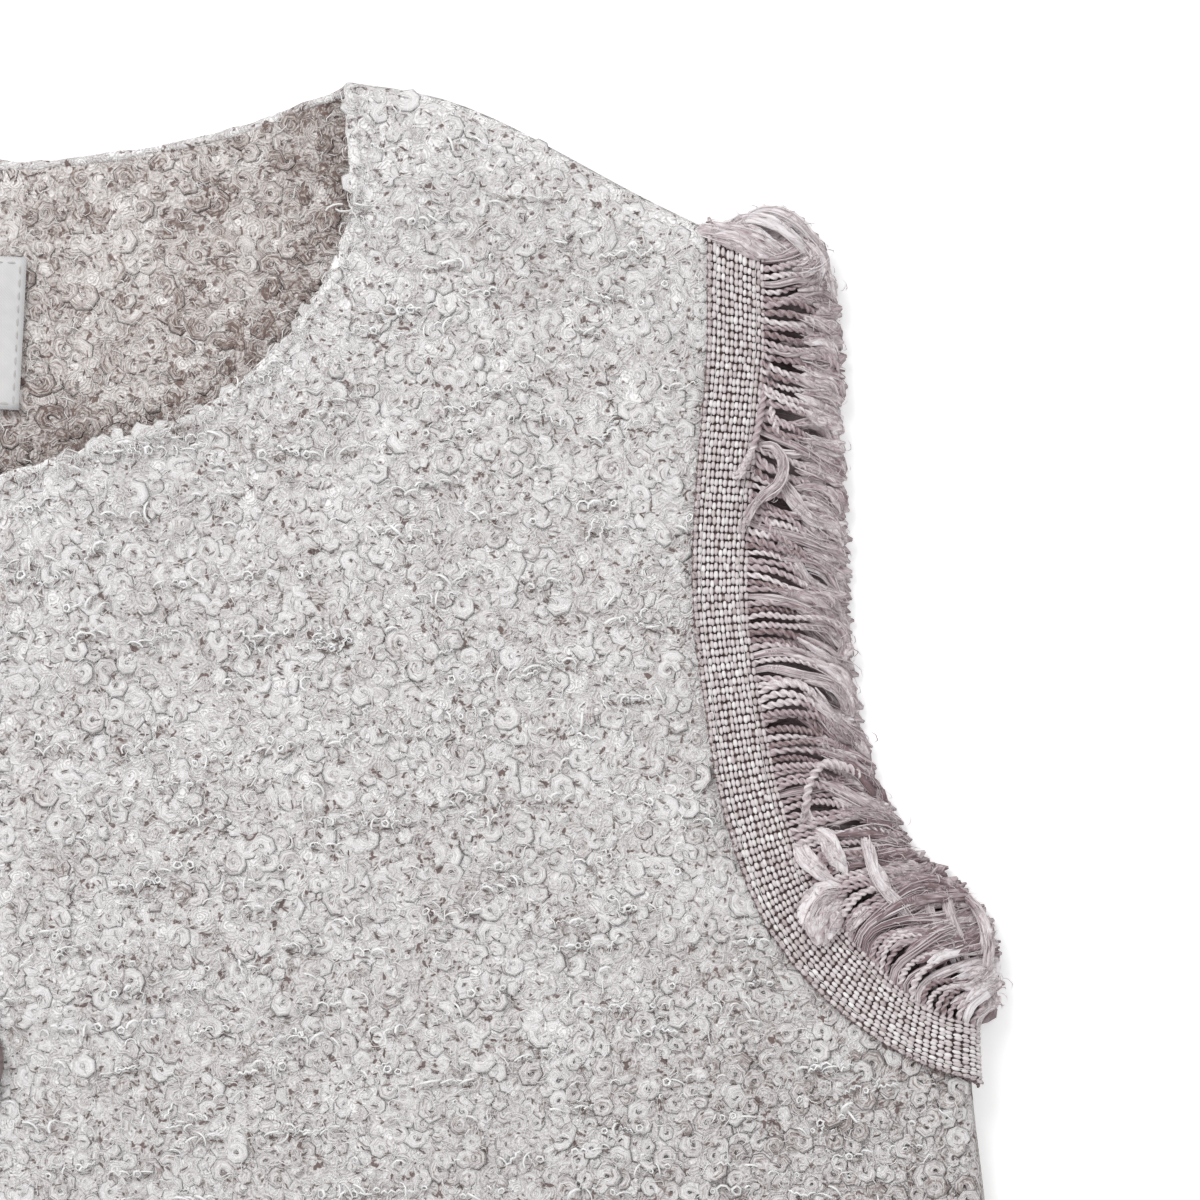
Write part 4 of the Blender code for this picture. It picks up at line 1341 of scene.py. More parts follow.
print("gilet: armhole bands")
grooveMat, floatMat = bandMaterials()
stitchMat = plainThread("bandStitch", band["stitch"])
selvage = oneYarn("selvageLoop", [(-0.62, 0.0, 0), (-0.42, 0.62, 0.1), (0.42, 0.62, 0.1), (0.62, 0.0, 0)],
                  0.30, False, threadSection, floatMat)
for label, side in (("left", 1), ("right", -1)):
    rounded = floatTemplate("roundFloat", floatMat, True)
    blocky = floatTemplate("blockFloat", floatMat, False)
    parts = [bandBase("band_ground_" + label, side, grooveMat)]
    parts.append(strew("band_floats_front_" + label, floatSpots("front", side),
                       [rounded if side > 0 else blocky]))
    parts.append(strew("band_floats_back_" + label, floatSpots("back", side), [blocky]))
    loops = joinSpots(selvageSpots("front", side), selvageSpots("back", side))
    parts.append(strew("band_selvage_" + label, loops, [selvage]))
    parts.append(bandStitches("band_stitches_" + label, side, threadSection, stitchMat))
    clear([rounded, blocky])
clear([selvage])

# Each rib's yarn leaves the band and runs to the line that the fringe is trimmed to.
fringe = {
    # from the shoulder round to the side, across and down from the neck point
    "trim": [(0.1980, -0.0325), (0.2065, -0.0385), (0.2105, -0.0480), (0.2122, -0.0600), (0.2134, -0.0886),
             (0.2142, -0.1124), (0.2154, -0.1362), (0.2170, -0.1529), (0.2214, -0.1695), (0.2262, -0.1767),
             (0.2321, -0.1862), (0.2405, -0.1915), (0.2462, -0.1965), (0.2496, -0.2040), (0.2500, -0.2110),
             (0.2492, -0.2175), (0.2490, -0.2230)],
    # along the armhole, share of the trim line it reaches, way it sets off and ends in degrees, arch
    "front": [(0.00, 0.02, 6, -38, 0.0010), (0.05, 0.10, -8, -40, 0.0012), (0.10, 0.17, -14, -36, 0.0014),
              (0.15, 0.24, -26, -38, 0.0016), (0.25, 0.36, -34, -44, 0.0022), (0.32, 0.43, -24, -34, 0.0022),
              (0.38, 0.485, 2, -30, 0.0026), (0.45, 0.560, 16, -48, 0.0030), (0.52, 0.640, 18, -58, 0.0030),
              (0.60, 0.705, 20, -34, 0.0028), (0.67, 0.745, 24, -10, 0.0026), (0.75, 0.800, 48, 4, 0.0024),
              (0.82, 0.850, 84, 18, 0.0026), (0.90, 0.915, 98, 40, 0.0028), (0.96, 0.955, 92, 62, 0.0024),
              (1.00, 0.980, 84, 74, 0.0016)],
    "cordThick": 0.00078,
    "yarnThick": 0.00120,
    "brushWide": 0.00190,
    "lockWide": 0.0023,
    "underThick": 0.00190,
    "fineStep": 0.00056,        # between the points of a cord that is seen, and of the rest
    "plainStep": 0.0018,
    "plyTurn": 0.0036,          # length of one whole turn of the two plies
    "cord": [(0.0, (0.200, 0.135, 0.142)), (0.35, (0.440, 0.352, 0.366)), (0.65, (0.620, 0.536, 0.552)),
             (1.0, (0.860, 0.812, 0.822))],
    "soft": [(0.0, (0.230, 0.162, 0.172)), (0.35, (0.470, 0.388, 0.402)), (0.65, (0.660, 0.582, 0.598)),
             (1.0, (0.890, 0.848, 0.858))],
    # colours of the yarns lying under the rest: painted shade
    "underShade": [(0.0, (0.150, 0.102, 0.105)), (0.5, (0.290, 0.218, 0.226)), (1.0, (0.540, 0.458, 0.470))],
}
trimLine = smoothLine(fringe["trim"])
trimRun = runOf(trimLine)[-1]


def fringeRow(w):
    table = np.array(fringe["front"])
    return [np.interp(w, table[:, 0], table[:, i]) for i in range(1, 5)]


def fringePath(root, tip, setOff, end, tipZ, arch, steps, sway=0.0):
    # a smooth curve from the band to the trim line, lifted a little on the way
    share = np.linspace(0.0, 1.0, steps + 1)[:, None]
    span = math.hypot(tip[0] - root[0], tip[1] - root[1])
    leave, arrive = math.radians(setOff), math.radians(end)
    first = np.array([root[0] + 0.42 * span * math.cos(leave), root[1] + 0.42 * span * math.sin(leave)])
    second = np.array([tip[0] - 0.36 * span * math.cos(arrive), tip[1] - 0.36 * span * math.sin(arrive)])
    flat = ((1 - share)**3 * root[:2] + 3 * (1 - share)**2 * share * first
            + 3 * (1 - share) * share**2 * second + share**3 * tip[:2])
    share = share[:, 0]
    flat = flat + squareTo(flat) * (sway * np.sin(2.2 * np.pi * share) * share)[:, None]
    drop = 3 * share**2 - 2 * share**3
    z = root[2] + (tipZ - root[2]) * drop + arch * np.sin(np.pi * share**0.8)
    return np.column_stack([flat, z])


def trimPoint(share):
    return along(trimLine, np.atleast_1d(float(np.clip(share, 0.0, 1.0)) * trimRun))[0] + [0.0, top]


def clump(index, seed):
    # neighbouring yarns lean together in small groups
    return (math.sin(index * 1.55 + seed) + 0.8 * math.sin(index * 0.61 + 2.1 * seed)
            + 0.6 * math.sin(index * 2.73 + 0.7 * seed)) / 2.4


def yarnLine(i, face, seed, short=0.0):
    # root, tip and ways of one rib's yarn
    w = (i + 0.5) / ribs
    reached = startOf(w) / rowStarts[-1]
    share, setOff, end, arch = fringeRow(reached)
    lean = clump(i, seed)
    root = bandPoint(w, 0.04, 0.0009 if face == "front" else 0.0003, face)[0]
    tip = trimPoint(share + 0.012 * lean + rng.normal(0.0, 0.004))
    tip = tip + (root[:2] - tip) * (0.02 + short + abs(rng.normal(0.0, 0.016)))
    height = 0.0026 + 0.0030 * abs(2 * reached - 1) + rng.uniform(-0.0008, 0.0014)
    if face == "back":
        height, arch = 0.0010 + rng.uniform(0.0, 0.0006), 0.0002
    setOff = setOff + 9 * lean + rng.normal(0, 5)
    return root, tip, setOff, end + 12 * lean + rng.normal(0, 8), height, arch


def brushTail(path, tip, start, wide, steps=7):
    # a flat soft brush from part way along a yarn to a rounded end
    tail = inSteps(path[round((len(path) - 1) * start):], steps)
    tail = tail + tip * np.linspace(0, 1, steps)[:, None]
    share = np.linspace(0, 1, steps)
    return tail, wide * np.interp(share, [0.0, 0.3, 0.7, 0.9, 1.0], [0.36, 0.80, 1.0, 0.80, 0.22])


def besideOf(line):
    step = np.gradient(line, axis=0)
    beside = np.column_stack([-step[:, 1], step[:, 0], np.zeros(len(line))])
    return beside / np.maximum(np.linalg.norm(beside, axis=1), 1e-9)[:, None]


def strandsOf(line, wide, count, ragged=0.15, shade=None):
    # thin strands that lie on a soft yarn, each wandering and ending on its own in a point
    beside, share = besideOf(line), np.linspace(0.0, 1.0, len(line))
    body = wide * np.interp(share, [0.0, 0.5, 1.0], [0.6, 1.0, 1.05])
    made = []
    for k in range(count):
        u = np.clip((2 * k + 1) / count - 1 + rng.normal(0.0, 0.15), -1, 1)
        wander = 0.20 * np.sin(share * rng.uniform(3, 8) + rng.uniform(0, 6))
        path = line + beside * (body * (u + wander))[:, None]
        path[:, 2] += body * 0.66 * math.sqrt(1 - 0.9 * u * u)
        last = max(4, round(len(line) * (1 - ragged * rng.uniform())))
        path = path[:last]
        taper = np.interp(np.linspace(0, 1, last), [0, 0.2, 0.7, 1], [0.5, 1.0, 0.9, 0.15])
        made.append((path, rng.uniform(0.00016, 0.00030) * taper, False, rng.uniform(0, 3), shade))
    return made


def locksOf(line, wide, count, shade=None, start=(0.0, 0.4), stop=(0.62, 1.0), sink=0.0):
    # short overlapping locks of brushed wool along a line, each with its own start and end
    beside, places = besideOf(line), np.arange(len(line))
    share = np.linspace(0.0, 1.0, 7)
    made = []
    for _ in range(count):
        at = np.linspace(rng.uniform(*start), rng.uniform(*stop), 7) * (len(line) - 1)
        path, aside = (np.stack([np.interp(at, places, a[:, i]) for i in range(3)], 1)
                       for a in (line, beside))
        u = rng.uniform(-0.62, 0.62)
        wander = u + 0.24 * np.sin(share * rng.uniform(2, 7) + rng.uniform(0, 6))
        path = path + aside * (wide * wander)[:, None]
        path[:, 2] += wide * (0.30 - 0.4 * abs(u) + rng.uniform(-0.12 - sink, 0.14))
        taper = np.interp(share, [0, 0.2, 0.55, 0.88, 1], [0.25, 0.8, 1, 0.9, 0.34])
        thick = wide * rng.uniform(0.32, 0.58) * taper
        own = None if shade is None else shade + rng.normal(0.0, 0.11)
        made.append((path, thick, False, rng.uniform(-0.5, 0.5), own))
    return made


def tuftOf(line, wide, shade=None, count=6):
    # a soft tuft: one broad lock the whole way, with shorter ones over it
    whole = inSteps(line, 9)
    widths = wide * np.interp(np.linspace(0, 1, 9), [0, 0.15, 0.6, 0.88, 1], [0.25, 0.70, 0.85, 0.66, 0.15])
    base = (whole, widths, False, 0.0, None if shade is None else shade - 0.08)
    return [base] + locksOf(line, wide * 1.1, count, shade)


def fringeYarns(face, side, stepLength, smoothShare, seed, seen):
    cords, strands, brushes, hairs = [], [], [], []
    for i in range(ribs):
        reached = startOf((i + 0.5) / ribs) / rowStarts[-1]
        root, tip, setOff, end, height, arch = yarnLine(i, face, seed)
        arch = arch * rng.uniform(0.5, 1.4)
        reach = math.hypot(*(tip - root[:2])) * 1.06
        isSmooth = rng.uniform() < smoothShare(reached)
        steps = 10 if isSmooth else max(8, round(reach / stepLength))
        path = fringePath(root, tip, setOff, end, height, arch, steps, 0.0016 * rng.normal())
        path[:, 2] = np.maximum(path[:, 2], 0.0010)
        share = np.linspace(0, 1, steps + 1)
        if isSmooth:
            wide = fringe["yarnThick"] * rng.uniform(0.85, 1.25)
            swell = 1 + 0.10 * np.sin(share * rng.uniform(9, 15) + rng.uniform(0, 6))
            brushes.append((path, wide * swell * np.interp(share, [0, 0.2, 0.8, 1], [0.6, 0.9, 1.1, 0.3]),
                            False, rng.uniform(-0.3, 0.3)))
            strands += strandsOf(path, wide, 3 if seen else 1)
        else:
            thick = fringe["cordThick"] * rng.uniform(0.84, 1.16) * (1 - 0.15 * share)
            thick = thick * (1 + 0.10 * np.sin(share * rng.uniform(10, 22) + rng.uniform(0, 6)))
            turns = reach / (fringe["plyTurn"] * rng.uniform(0.78, 1.35))
            last = max(4, round(steps * rng.uniform(0.70, 0.92)))
            twist = 2 * np.pi * turns * share + rng.uniform(0, 3)
            cords.append((path[:last], thick[:last], False, twist[:last]))
        opened = rng.uniform(0.40, 0.64)
        # under the arm the brushes are in shadow
        tone = None if reached < 0.74 else rng.uniform(-0.16, 0.54)
        for _ in range(1 if seen else 2):
            more = np.array([rng.normal(0, 0.0006), rng.normal(0, 0.0006), rng.uniform(-0.0006, 0.0006)])
            tail, widths = brushTail(path, more, opened, fringe["brushWide"] * rng.uniform(0.70, 1.2))
            tail[:, 2] = np.maximum(tail[:, 2] - 0.0006, 0.0009 if seen else 0.0017)
            brushes.append((tail, widths, False, rng.uniform(-0.4, 0.4), tone))
        if seen:
            first = 0.42 + 0.16 * clump(i, 4.0) + 0.08 * rng.normal()
            brushes += locksOf(path, fringe["lockWide"], 4, tone, start=(first - 0.10, first + 0.26),
                               stop=(0.90, 1.0), sink=0.3)
        at = round(steps * opened)
        strands += strandsOf(inSteps(path[at:], 6), 0.0017 * rng.uniform(0.8, 1.2), 2 if seen else 1, 0.3)
        for _ in range(2 if seen else 1):
            at = round(steps * rng.uniform(0.45, 0.85))
            way = math.degrees(math.atan2(path[-1][1] - path[at][1], path[-1][0] - path[at][0]))
            aim = tip + rng.normal(0.0, 0.0009, 2) + (tip - path[at][:2]) * rng.uniform(-0.14, 0.0)
            hair = fringePath(path[at], aim, way + rng.normal(0, 22), way + rng.normal(0, 24),
                              path[-1][2] + rng.uniform(-0.0010, 0.0008), rng.uniform(0.0, 0.0010), 5)
            hair[:, 2] = np.maximum(hair[:, 2], 0.0006)
            thick = rng.uniform(0.00012, 0.00020) * np.array([0.6, 1.0, 1.0, 1.0, 0.8, 0.2])
            hairs.append((hair, thick, False, rng.uniform(0, 3)))
    made = cords, strands, brushes, hairs
    return [[(points * [side, 1, 1], *rest) for points, *rest in kind] for kind in made]


def underYarns(side):
    # broad yarns close together under the rest, so that nothing shows through; their darker colours are
    # painted shade
    under = []
    for i in range(ribs):
        root, tip, setOff, end, _, _ = yarnLine(i, "back", 1.3, short=0.05)
        path = fringePath(root, tip, setOff, end, 0.0018, 0.0006, 5)
        path[:, 2] = np.maximum(path[:, 2], 0.0010)
        thick = fringe["underThick"] * rng.uniform(0.9, 1.2) * np.array([0.6, 0.95, 1.1, 1.2, 1.2, 0.8])
        under.append((path * [side, 1, 1], thick, False, rng.uniform(-0.2, 0.2)))
    return under


# Yarns that lie out of line at the wearer's left: kind, half thickness, then points across, down from the
# neck point and up from the surface.
strayYarns = [
    ("pale", 1.4, [(180.6, -38.6, 6.5), (183.6, -35.8, 9.5), (188.5, -36.2, 12.4), (194.0, -38.6, 13.0),
                   (199.5, -42.4, 11.4), (203.0, -45.6, 9.6)]),
    ("pale", 1.6, [(184.6, -37.0, 6.0), (187.8, -33.8, 9.0), (192.4, -33.4, 11.4), (197.6, -35.8, 11.8),
                   (202.2, -39.8, 10.4), (205.2, -43.8, 9.0)]),
    ("pale", 1.5, [(188.2, -36.4, 5.5), (191.0, -32.4, 8.0), (195.4, -31.8, 9.8), (200.2, -33.6, 10.2),
                   (204.2, -37.2, 9.0), (207.0, -41.8, 7.8)]),
    ("pale", 1.6, [(192.0, -37.0, 5.0), (195.2, -33.2, 7.4), (199.8, -33.6, 8.8), (204.2, -36.6, 8.4),
                   (207.8, -41.0, 7.4), (209.6, -46.4, 6.4)]),
    ("pale", 1.8, [(180.6, -40.4, 9.5), (184.6, -38.8, 13.6), (189.6, -39.8, 14.4), (194.6, -42.2, 13.8),
                   (198.8, -44.2, 12.0), (202.6, -44.8, 10.0)]),
    ("tuft", 2.3, [(195.4, -41.8, 9.0), (199.6, -45.0, 11.0), (204.2, -45.2, 11.0), (207.6, -41.6, 9.4)]),
    ("tuft", 1.9, [(202.6, -37.8, 9.0), (205.8, -41.4, 10.4), (207.0, -45.8, 9.4), (205.4, -49.2, 8.4)]),
    ("tuft", 1.4, [(207.4, -44.0, 8.0), (209.6, -47.6, 8.6), (210.8, -52.4, 7.4)]),
    ("pale", 2.7, [(177.8, -36.2, 10.4), (181.4, -37.0, 14.4), (186.4, -38.4, 15.2), (191.4, -40.6, 15.0),
                   (195.8, -42.8, 13.4)]),
    ("pale", 3.2, [(186.0, -39.0, 5.6), (191.0, -36.8, 7.6), (197.0, -37.4, 8.2), (203.0, -41.2, 7.6),
                   (206.4, -46.2, 6.6)]),
    ("tuft", 2.6, [(192.0, -40.5, 7.4), (197.0, -40.4, 8.8), (202.4, -43.6, 8.4), (206.4, -48.4, 7.2)]),
    ("cord", 0.95, [(212.0, -69.0, 6.4), (206.5, -65.4, 8.4), (202.4, -63.4, 9.4), (198.2, -63.8, 10.0),
                    (195.6, -66.4, 10.2), (193.2, -71.6, 10.4), (193.6, -76.4, 11.0), (192.6, -81.8, 11.6),
                    (191.6, -86.6, 11.8), (189.6, -91.6, 12.0), (186.8, -95.6, 11.8)]),
    ("cord", 0.85, [(193.8, -66.0, 8.6), (195.2, -72.6, 10.0), (195.6, -79.0, 10.4), (197.0, -84.2, 10.2),
                    (200.6, -87.4, 9.0), (203.6, -90.0, 7.6)]),
    ("soft", 1.6, [(192.6, -87.4, 10.0), (196.0, -87.6, 11.6), (198.4, -91.6, 12.0), (197.2, -96.4, 12.2),
                   (193.6, -99.4, 12.4), (190.6, -103.0, 12.2), (188.4, -107.8, 11.6)]),
    ("tuft", 1.7, [(197.4, -94.6, 9.0), (200.4, -99.6, 10.0), (204.6, -104.4, 9.2), (209.6, -106.4, 7.6),
                   (213.6, -106.0, 6.0)]),
    ("cord", 0.80, [(192.4, -101.0, 8.6), (194.6, -105.6, 10.2), (197.4, -110.4, 9.8),
                    (199.6, -114.4, 8.6)]),
    ("cord", 0.85, [(191.0, -102.0, 8.4), (193.2, -107.2, 9.6), (196.6, -112.2, 9.4),
                    (201.4, -117.0, 8.0)]),
    ("tuft", 1.3, [(194.6, -101.6, 8.4), (197.0, -108.0, 9.6), (201.6, -115.0, 9.2), (205.6, -121.6, 7.4)]),
    ("cord", 1.15, [(217.0, -166.0, 7.4), (212.4, -163.8, 10.2), (207.8, -163.4, 11.4),
                    (204.8, -167.4, 11.8),
                    (203.8, -172.6, 11.8), (203.9, -177.4, 10.2)]),
    ("tuft", 2.2, [(203.6, -179.0, 8.0), (208.0, -180.6, 11.0), (210.6, -184.6, 11.6),
                   (213.6, -189.6, 10.8)]),
    ("tuft", 1.9, [(201.4, -180.6, 8.0), (203.0, -185.4, 11.0), (206.6, -188.6, 11.6),
                   (211.0, -191.8, 10.8)]),
    ("soft", 1.9, [(217.4, -179.0, 7.4), (218.6, -184.6, 10.6), (221.0, -191.2, 11.6),
                   (226.6, -197.8, 11.2),
                   (229.6, -203.0, 10.0)]),
    ("soft", 3.0, [(212.6, -196.6, 8.4), (208.8, -195.2, 11.4), (206.4, -198.6, 12.2),
                   (205.8, -203.6, 12.0)]),
    ("soft", 2.4, [(213.4, -194.4, 9.0), (209.0, -193.6, 11.8), (205.2, -196.6, 12.0),
                   (203.6, -201.0, 11.6)]),
    ("soft", 4.0, [(214.0, -196.6, 8.6), (209.8, -196.8, 11.4), (207.4, -201.0, 12.4),
                   (206.2, -206.4, 12.0)]),
    ("soft", 3.2, [(213.6, -194.8, 9.4), (208.6, -194.9, 12.0), (205.2, -198.2, 12.8),
                   (204.4, -203.4, 12.6)]),
    ("tuft", 2.0, [(214.4, -198.4, 8.6), (211.0, -199.2, 11.6), (208.4, -203.0, 12.0),
                   (207.8, -206.6, 11.4)]),
    ("soft", 1.8, [(219.6, -197.0, 9.4), (217.6, -198.4, 12.2), (215.4, -200.6, 12.6),
                   (213.8, -203.0, 12.0)]),
    ("tuft", 1.5, [(232.4, -191.0, 6.4), (233.2, -198.4, 9.0), (236.4, -205.4, 9.8), (239.8, -211.6, 8.6)]),
    ("tuft", 1.4, [(236.6, -190.6, 5.6), (238.0, -197.6, 8.2), (240.4, -204.4, 9.0), (242.4, -211.0, 8.0)]),
    ("tuft", 1.9, [(241.0, -193.8, 5.2), (245.2, -198.6, 7.6), (247.4, -205.6, 8.4), (246.6, -213.0, 7.6)]),
    ("cord", 0.85, [(225.0, -214.6, 5.8), (227.6, -209.6, 8.8), (227.4, -204.0, 10.2),
                    (224.6, -199.4, 10.6)]),
    ("cord", 0.85, [(229.6, -217.4, 5.6), (231.4, -211.6, 8.8), (230.6, -205.0, 10.4),
                    (227.6, -200.0, 10.6)]),
    ("cord", 0.85, [(234.4, -220.0, 5.4), (234.2, -213.6, 8.6), (232.2, -206.8, 10.2),
                    (229.8, -201.4, 10.4)]),
    ("cord", 0.85, [(238.0, -221.4, 5.4), (237.6, -214.6, 8.4), (235.4, -207.6, 9.8),
                    (232.6, -202.0, 9.8)]),
]


def strayPieces():
    cords, strands, brushes, hairs = [], [], [], []
    for kind, thick, points in strayYarns:
        line = smoothLine([(x * 0.001, top + y * 0.001, z * 0.001) for x, y, z in points], 8)
        line = evenly(line, 0.0006 if kind == "cord" else 0.0014)
        share = np.linspace(0, 1, len(line))
        shade = {"pale": 0.98, "soft": 0.84, "tuft": 0.66, "cord": 0.75 if thick > 1 else None}[kind]
        if kind == "cord":
            turns = runOf(line)[-1] / (fringe["plyTurn"] * 1.1)
            cords.append((line, thick * 0.001 * (1 - 0.1 * share), False, 2 * np.pi * turns * share, shade))
            brushes += tuftOf(inSteps(line[round(len(line) * 0.80):], 6), 0.0013, 0.6)
            continue
        brushes += tuftOf(line, thick * 0.001, shade)
        strands += strandsOf(line, thick * 0.0009, 3, 0.22, shade)
        for _ in range(5):
            at = rng.integers(0, max(1, len(line) - 5))
            drift = np.linspace(0.5, 1.5, len(line) - at)[:, None]
            hair = line[at:] + rng.normal(0.0, 0.34 * thick * 0.001, 3) * drift + [0, 0, 0.0005]
            taper = np.interp(np.linspace(0, 1, len(hair)), [0, 0.3, 0.7, 1], [0.3, 1.0, 0.9, 0.2])
            hairs.append((hair, rng.uniform(0.00012, 0.00018) * taper, False, 0.0, shade))
    return cords, strands, brushes, hairs


print("gilet: fringes")
cordMat = yarnMaterial("fringeCord", fringe["cord"], (22.0, 8.0), 0.55, 0.00010, 0.8, 0.12, 0.11)
softMat = yarnMaterial("fringeSoft", fringe["soft"], (5.0, 8.0), 0.92, 0.00045, 0.95, 0.0, 0.06, 1, 0.19)
strandMat = yarnMaterial("fringeStrand", fringe["soft"], (3.0, 3.0), 0.30, 0.0, 0.9, 0.12)
underShadeMat = yarnMaterial("fringeUnderShade", fringe["underShade"], (2.2, 15.0), 0.62, 0.00020, 0.9, 0.1)
twoPly = tubeSection("twoPly", [(0.96, 0.46), (0.96, -0.46), (0.0, -0.36), (-0.96, -0.46), (-0.96, 0.46),
                                (0.0, 0.36)])
flatPly = tubeSection("flatPly", [(1.0, 0.0), (0.0, -0.50), (-1.0, 0.0), (0.0, 0.50)])
softSection = tubeSection("softSection", roundSection(6, 1.0, 0.30))
brushSection = tubeSection("brushSection", roundSection(6, 1.0, 0.44))
hairSection = tubeSection("hairSection", roundSection(3, 1.0, 0.7))


def smoothInFront(w):
    return float(np.interp(w, [0.0, 0.10, 0.16, 0.30, 0.45, 0.52, 0.60, 0.72, 0.80, 0.9, 1.0],
                           [0.4, 0.16, 0.08, 0.14, 0.16, 0.10, 0.10, 0.12, 0.20, 0.10, 0.3]))


for label, side in (("left", 1), ("right", -1)):
    parts = []
    for face, seed in (("front", 0.4), ("back", 2.2)):
        seen = face == "front" and side > 0
        share = smoothInFront if face == "front" else (lambda w: 0.35)
        made = fringeYarns(face, side, fringe["fineStep" if seen else "plainStep"], share, seed, seen)
        tail = f"{face}_{label}"
        if seen:
            made = [a + b for a, b in zip(made, strayPieces())]
        cords, strands, brushes, hairs = made
        parts.append(yarnPiece("fringe_cords_" + tail, cords, twoPly if seen else flatPly, cordMat))
        parts.append(yarnPiece("fringe_brushes_" + tail, brushes, brushSection if seen else hairSection,
                               softMat, 0.25, 0.75))
        parts.append(yarnPiece("fringe_strands_" + tail, strands, hairSection, strandMat, 0.3, 0.9))
        parts.append(yarnPiece("fringe_hairs_" + tail, hairs, hairSection, strandMat, 0.3, 0.9))
        if seen:
            fluff = wispSet("fluff", 0.00012, strandMat)
            ends = [(np.asarray(points), float(np.max(wide))) for points, wide, *_ in brushes]
            parts.append(strew("fringe_fuzz_" + tail, fuzzSpots(ends[::2], 4, 0.60, 0.80), fluff))
            clear(fluff)
    parts.append(yarnPiece("fringe_under_" + label, underYarns(side), softSection, underShadeMat))

labelTag = {
    "wide": 0.040,
    "high": 0.0365,
    "thick": 0.0006,
    "tilt": -3.0,
    "stitchPitch": 0.0031,
    "stitchIn": 0.0014,
    "colour": (0.665, 0.655, 0.658),
}


def labelMaterial():
    # white twill: fine diagonal ribs and a little cloudiness
    mat, nodes, shader = newMaterial("labelTwill", {"Roughness": 0.55, "Sheen Weight": 0.15})
    uv = uvOf(nodes)
    rib = addNode(nodes, "ShaderNodeTexWave", wave_type="BANDS", bands_direction="DIAGONAL", Scale=900.0,
                  Distortion=0.4)
    rib.inputs["Detail Scale"].default_value = 2.0
    cloud = addNode(nodes, "ShaderNodeTexNoise", Scale=260.0, Detail=3.0)
    join(uv, rib.inputs["Vector"])
    join(uv, cloud.inputs["Vector"])
    both = addMath(nodes, "MULTIPLY_ADD", rib.outputs["Fac"], 0.35, cloud.outputs["Fac"])
    low = tuple(c * 0.82 for c in labelTag["colour"])
    colourBy(nodes, shader, both, [(0.2, low), (1.0, labelTag["colour"])])
    addBump(nodes, shader, rib.outputs["Fac"], 0.00006, 0.5)
    return mat


def labelHeight(x, y):
    # it lies on the curls, a little uneven, and its corners lift
    u, v = 2 * x / labelTag["wide"], 2 * y / labelTag["high"]
    return 0.00022 * math.sin(5.1 * u + 1) * math.sin(4.3 * v + 2) + 0.0005 * (u * v) ** 2


def labelPiece():
    low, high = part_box("label")
    middle = (low + high) / 2
    turn = (Matrix.Translation((middle.x, middle.y, high.z))
            @ Matrix.Rotation(math.radians(labelTag["tilt"]), 4, "Z"))
    bm = bmesh.new()
    bmesh.ops.create_grid(bm, x_segments=20, y_segments=18, size=0.5)
    bmesh.ops.scale(bm, vec=(labelTag["wide"], labelTag["high"], 1), verts=bm.verts)
    upper, lower = secondSide(bm)
    for v in lower:
        v.co.z = labelHeight(v.co.x, v.co.y) - labelTag["thick"]
    for v in upper:
        v.co.z = labelHeight(v.co.x, v.co.y)
    bmesh.ops.recalc_face_normals(bm, faces=bm.faces)
    bmesh.ops.transform(bm, matrix=turn, verts=bm.verts)
    tag = addPiece("label_twill", bm, labelMaterial())
    # running stitches just inside all four edges
    stitches = []
    halfW = labelTag["wide"] / 2 - labelTag["stitchIn"]
    halfH = labelTag["high"] / 2 - labelTag["stitchIn"]
    for fixed, span, upright in ((halfW, halfH, True), (-halfW, halfH, True), (halfH, halfW, False),
                                 (-halfH, halfW, False)):
        for start in np.arange(-span, span - 0.4 * labelTag["stitchPitch"], labelTag["stitchPitch"]):
            line = []
            for k, lift in enumerate((-0.00012, 0.00012, 0.00014, 0.00012, -0.00012)):
                a = start + 0.62 * labelTag["stitchPitch"] * k / 4
                x, y = (fixed, a) if upright else (a, fixed)
                line.append(turn @ Vector((x, y, labelHeight(x, y) + lift)))
            stitches.append((line, 0.00020, False, 0.0))
    sewn = yarnMesh("label_stitches", stitches, threadSection, plainThread("labelStitch", (0.62, 0.60, 0.58)))
    return tag, show(sewn)


print("gilet: label and buttons")
tag, tagStitches = labelPiece()

buttonSizes = {
    "steps": 72,
    "dark": (0.040, 0.020, 0.021),
    "light": (0.230, 0.165, 0.165),
}


def buttonMaterial():
    # mauve-brown with a pearly, clouded face
    mat, nodes, shader = newMaterial("buttonPearl", {"Roughness": 0.22, "Coat Weight": 0.6,
                                                            "Coat Roughness": 0.08})
    colourBy(nodes, shader, objectNoise(nodes, 170.0, 4.0, 1.8),
             [(0.3, buttonSizes["dark"]), (0.75, buttonSizes["light"])])
    return mat


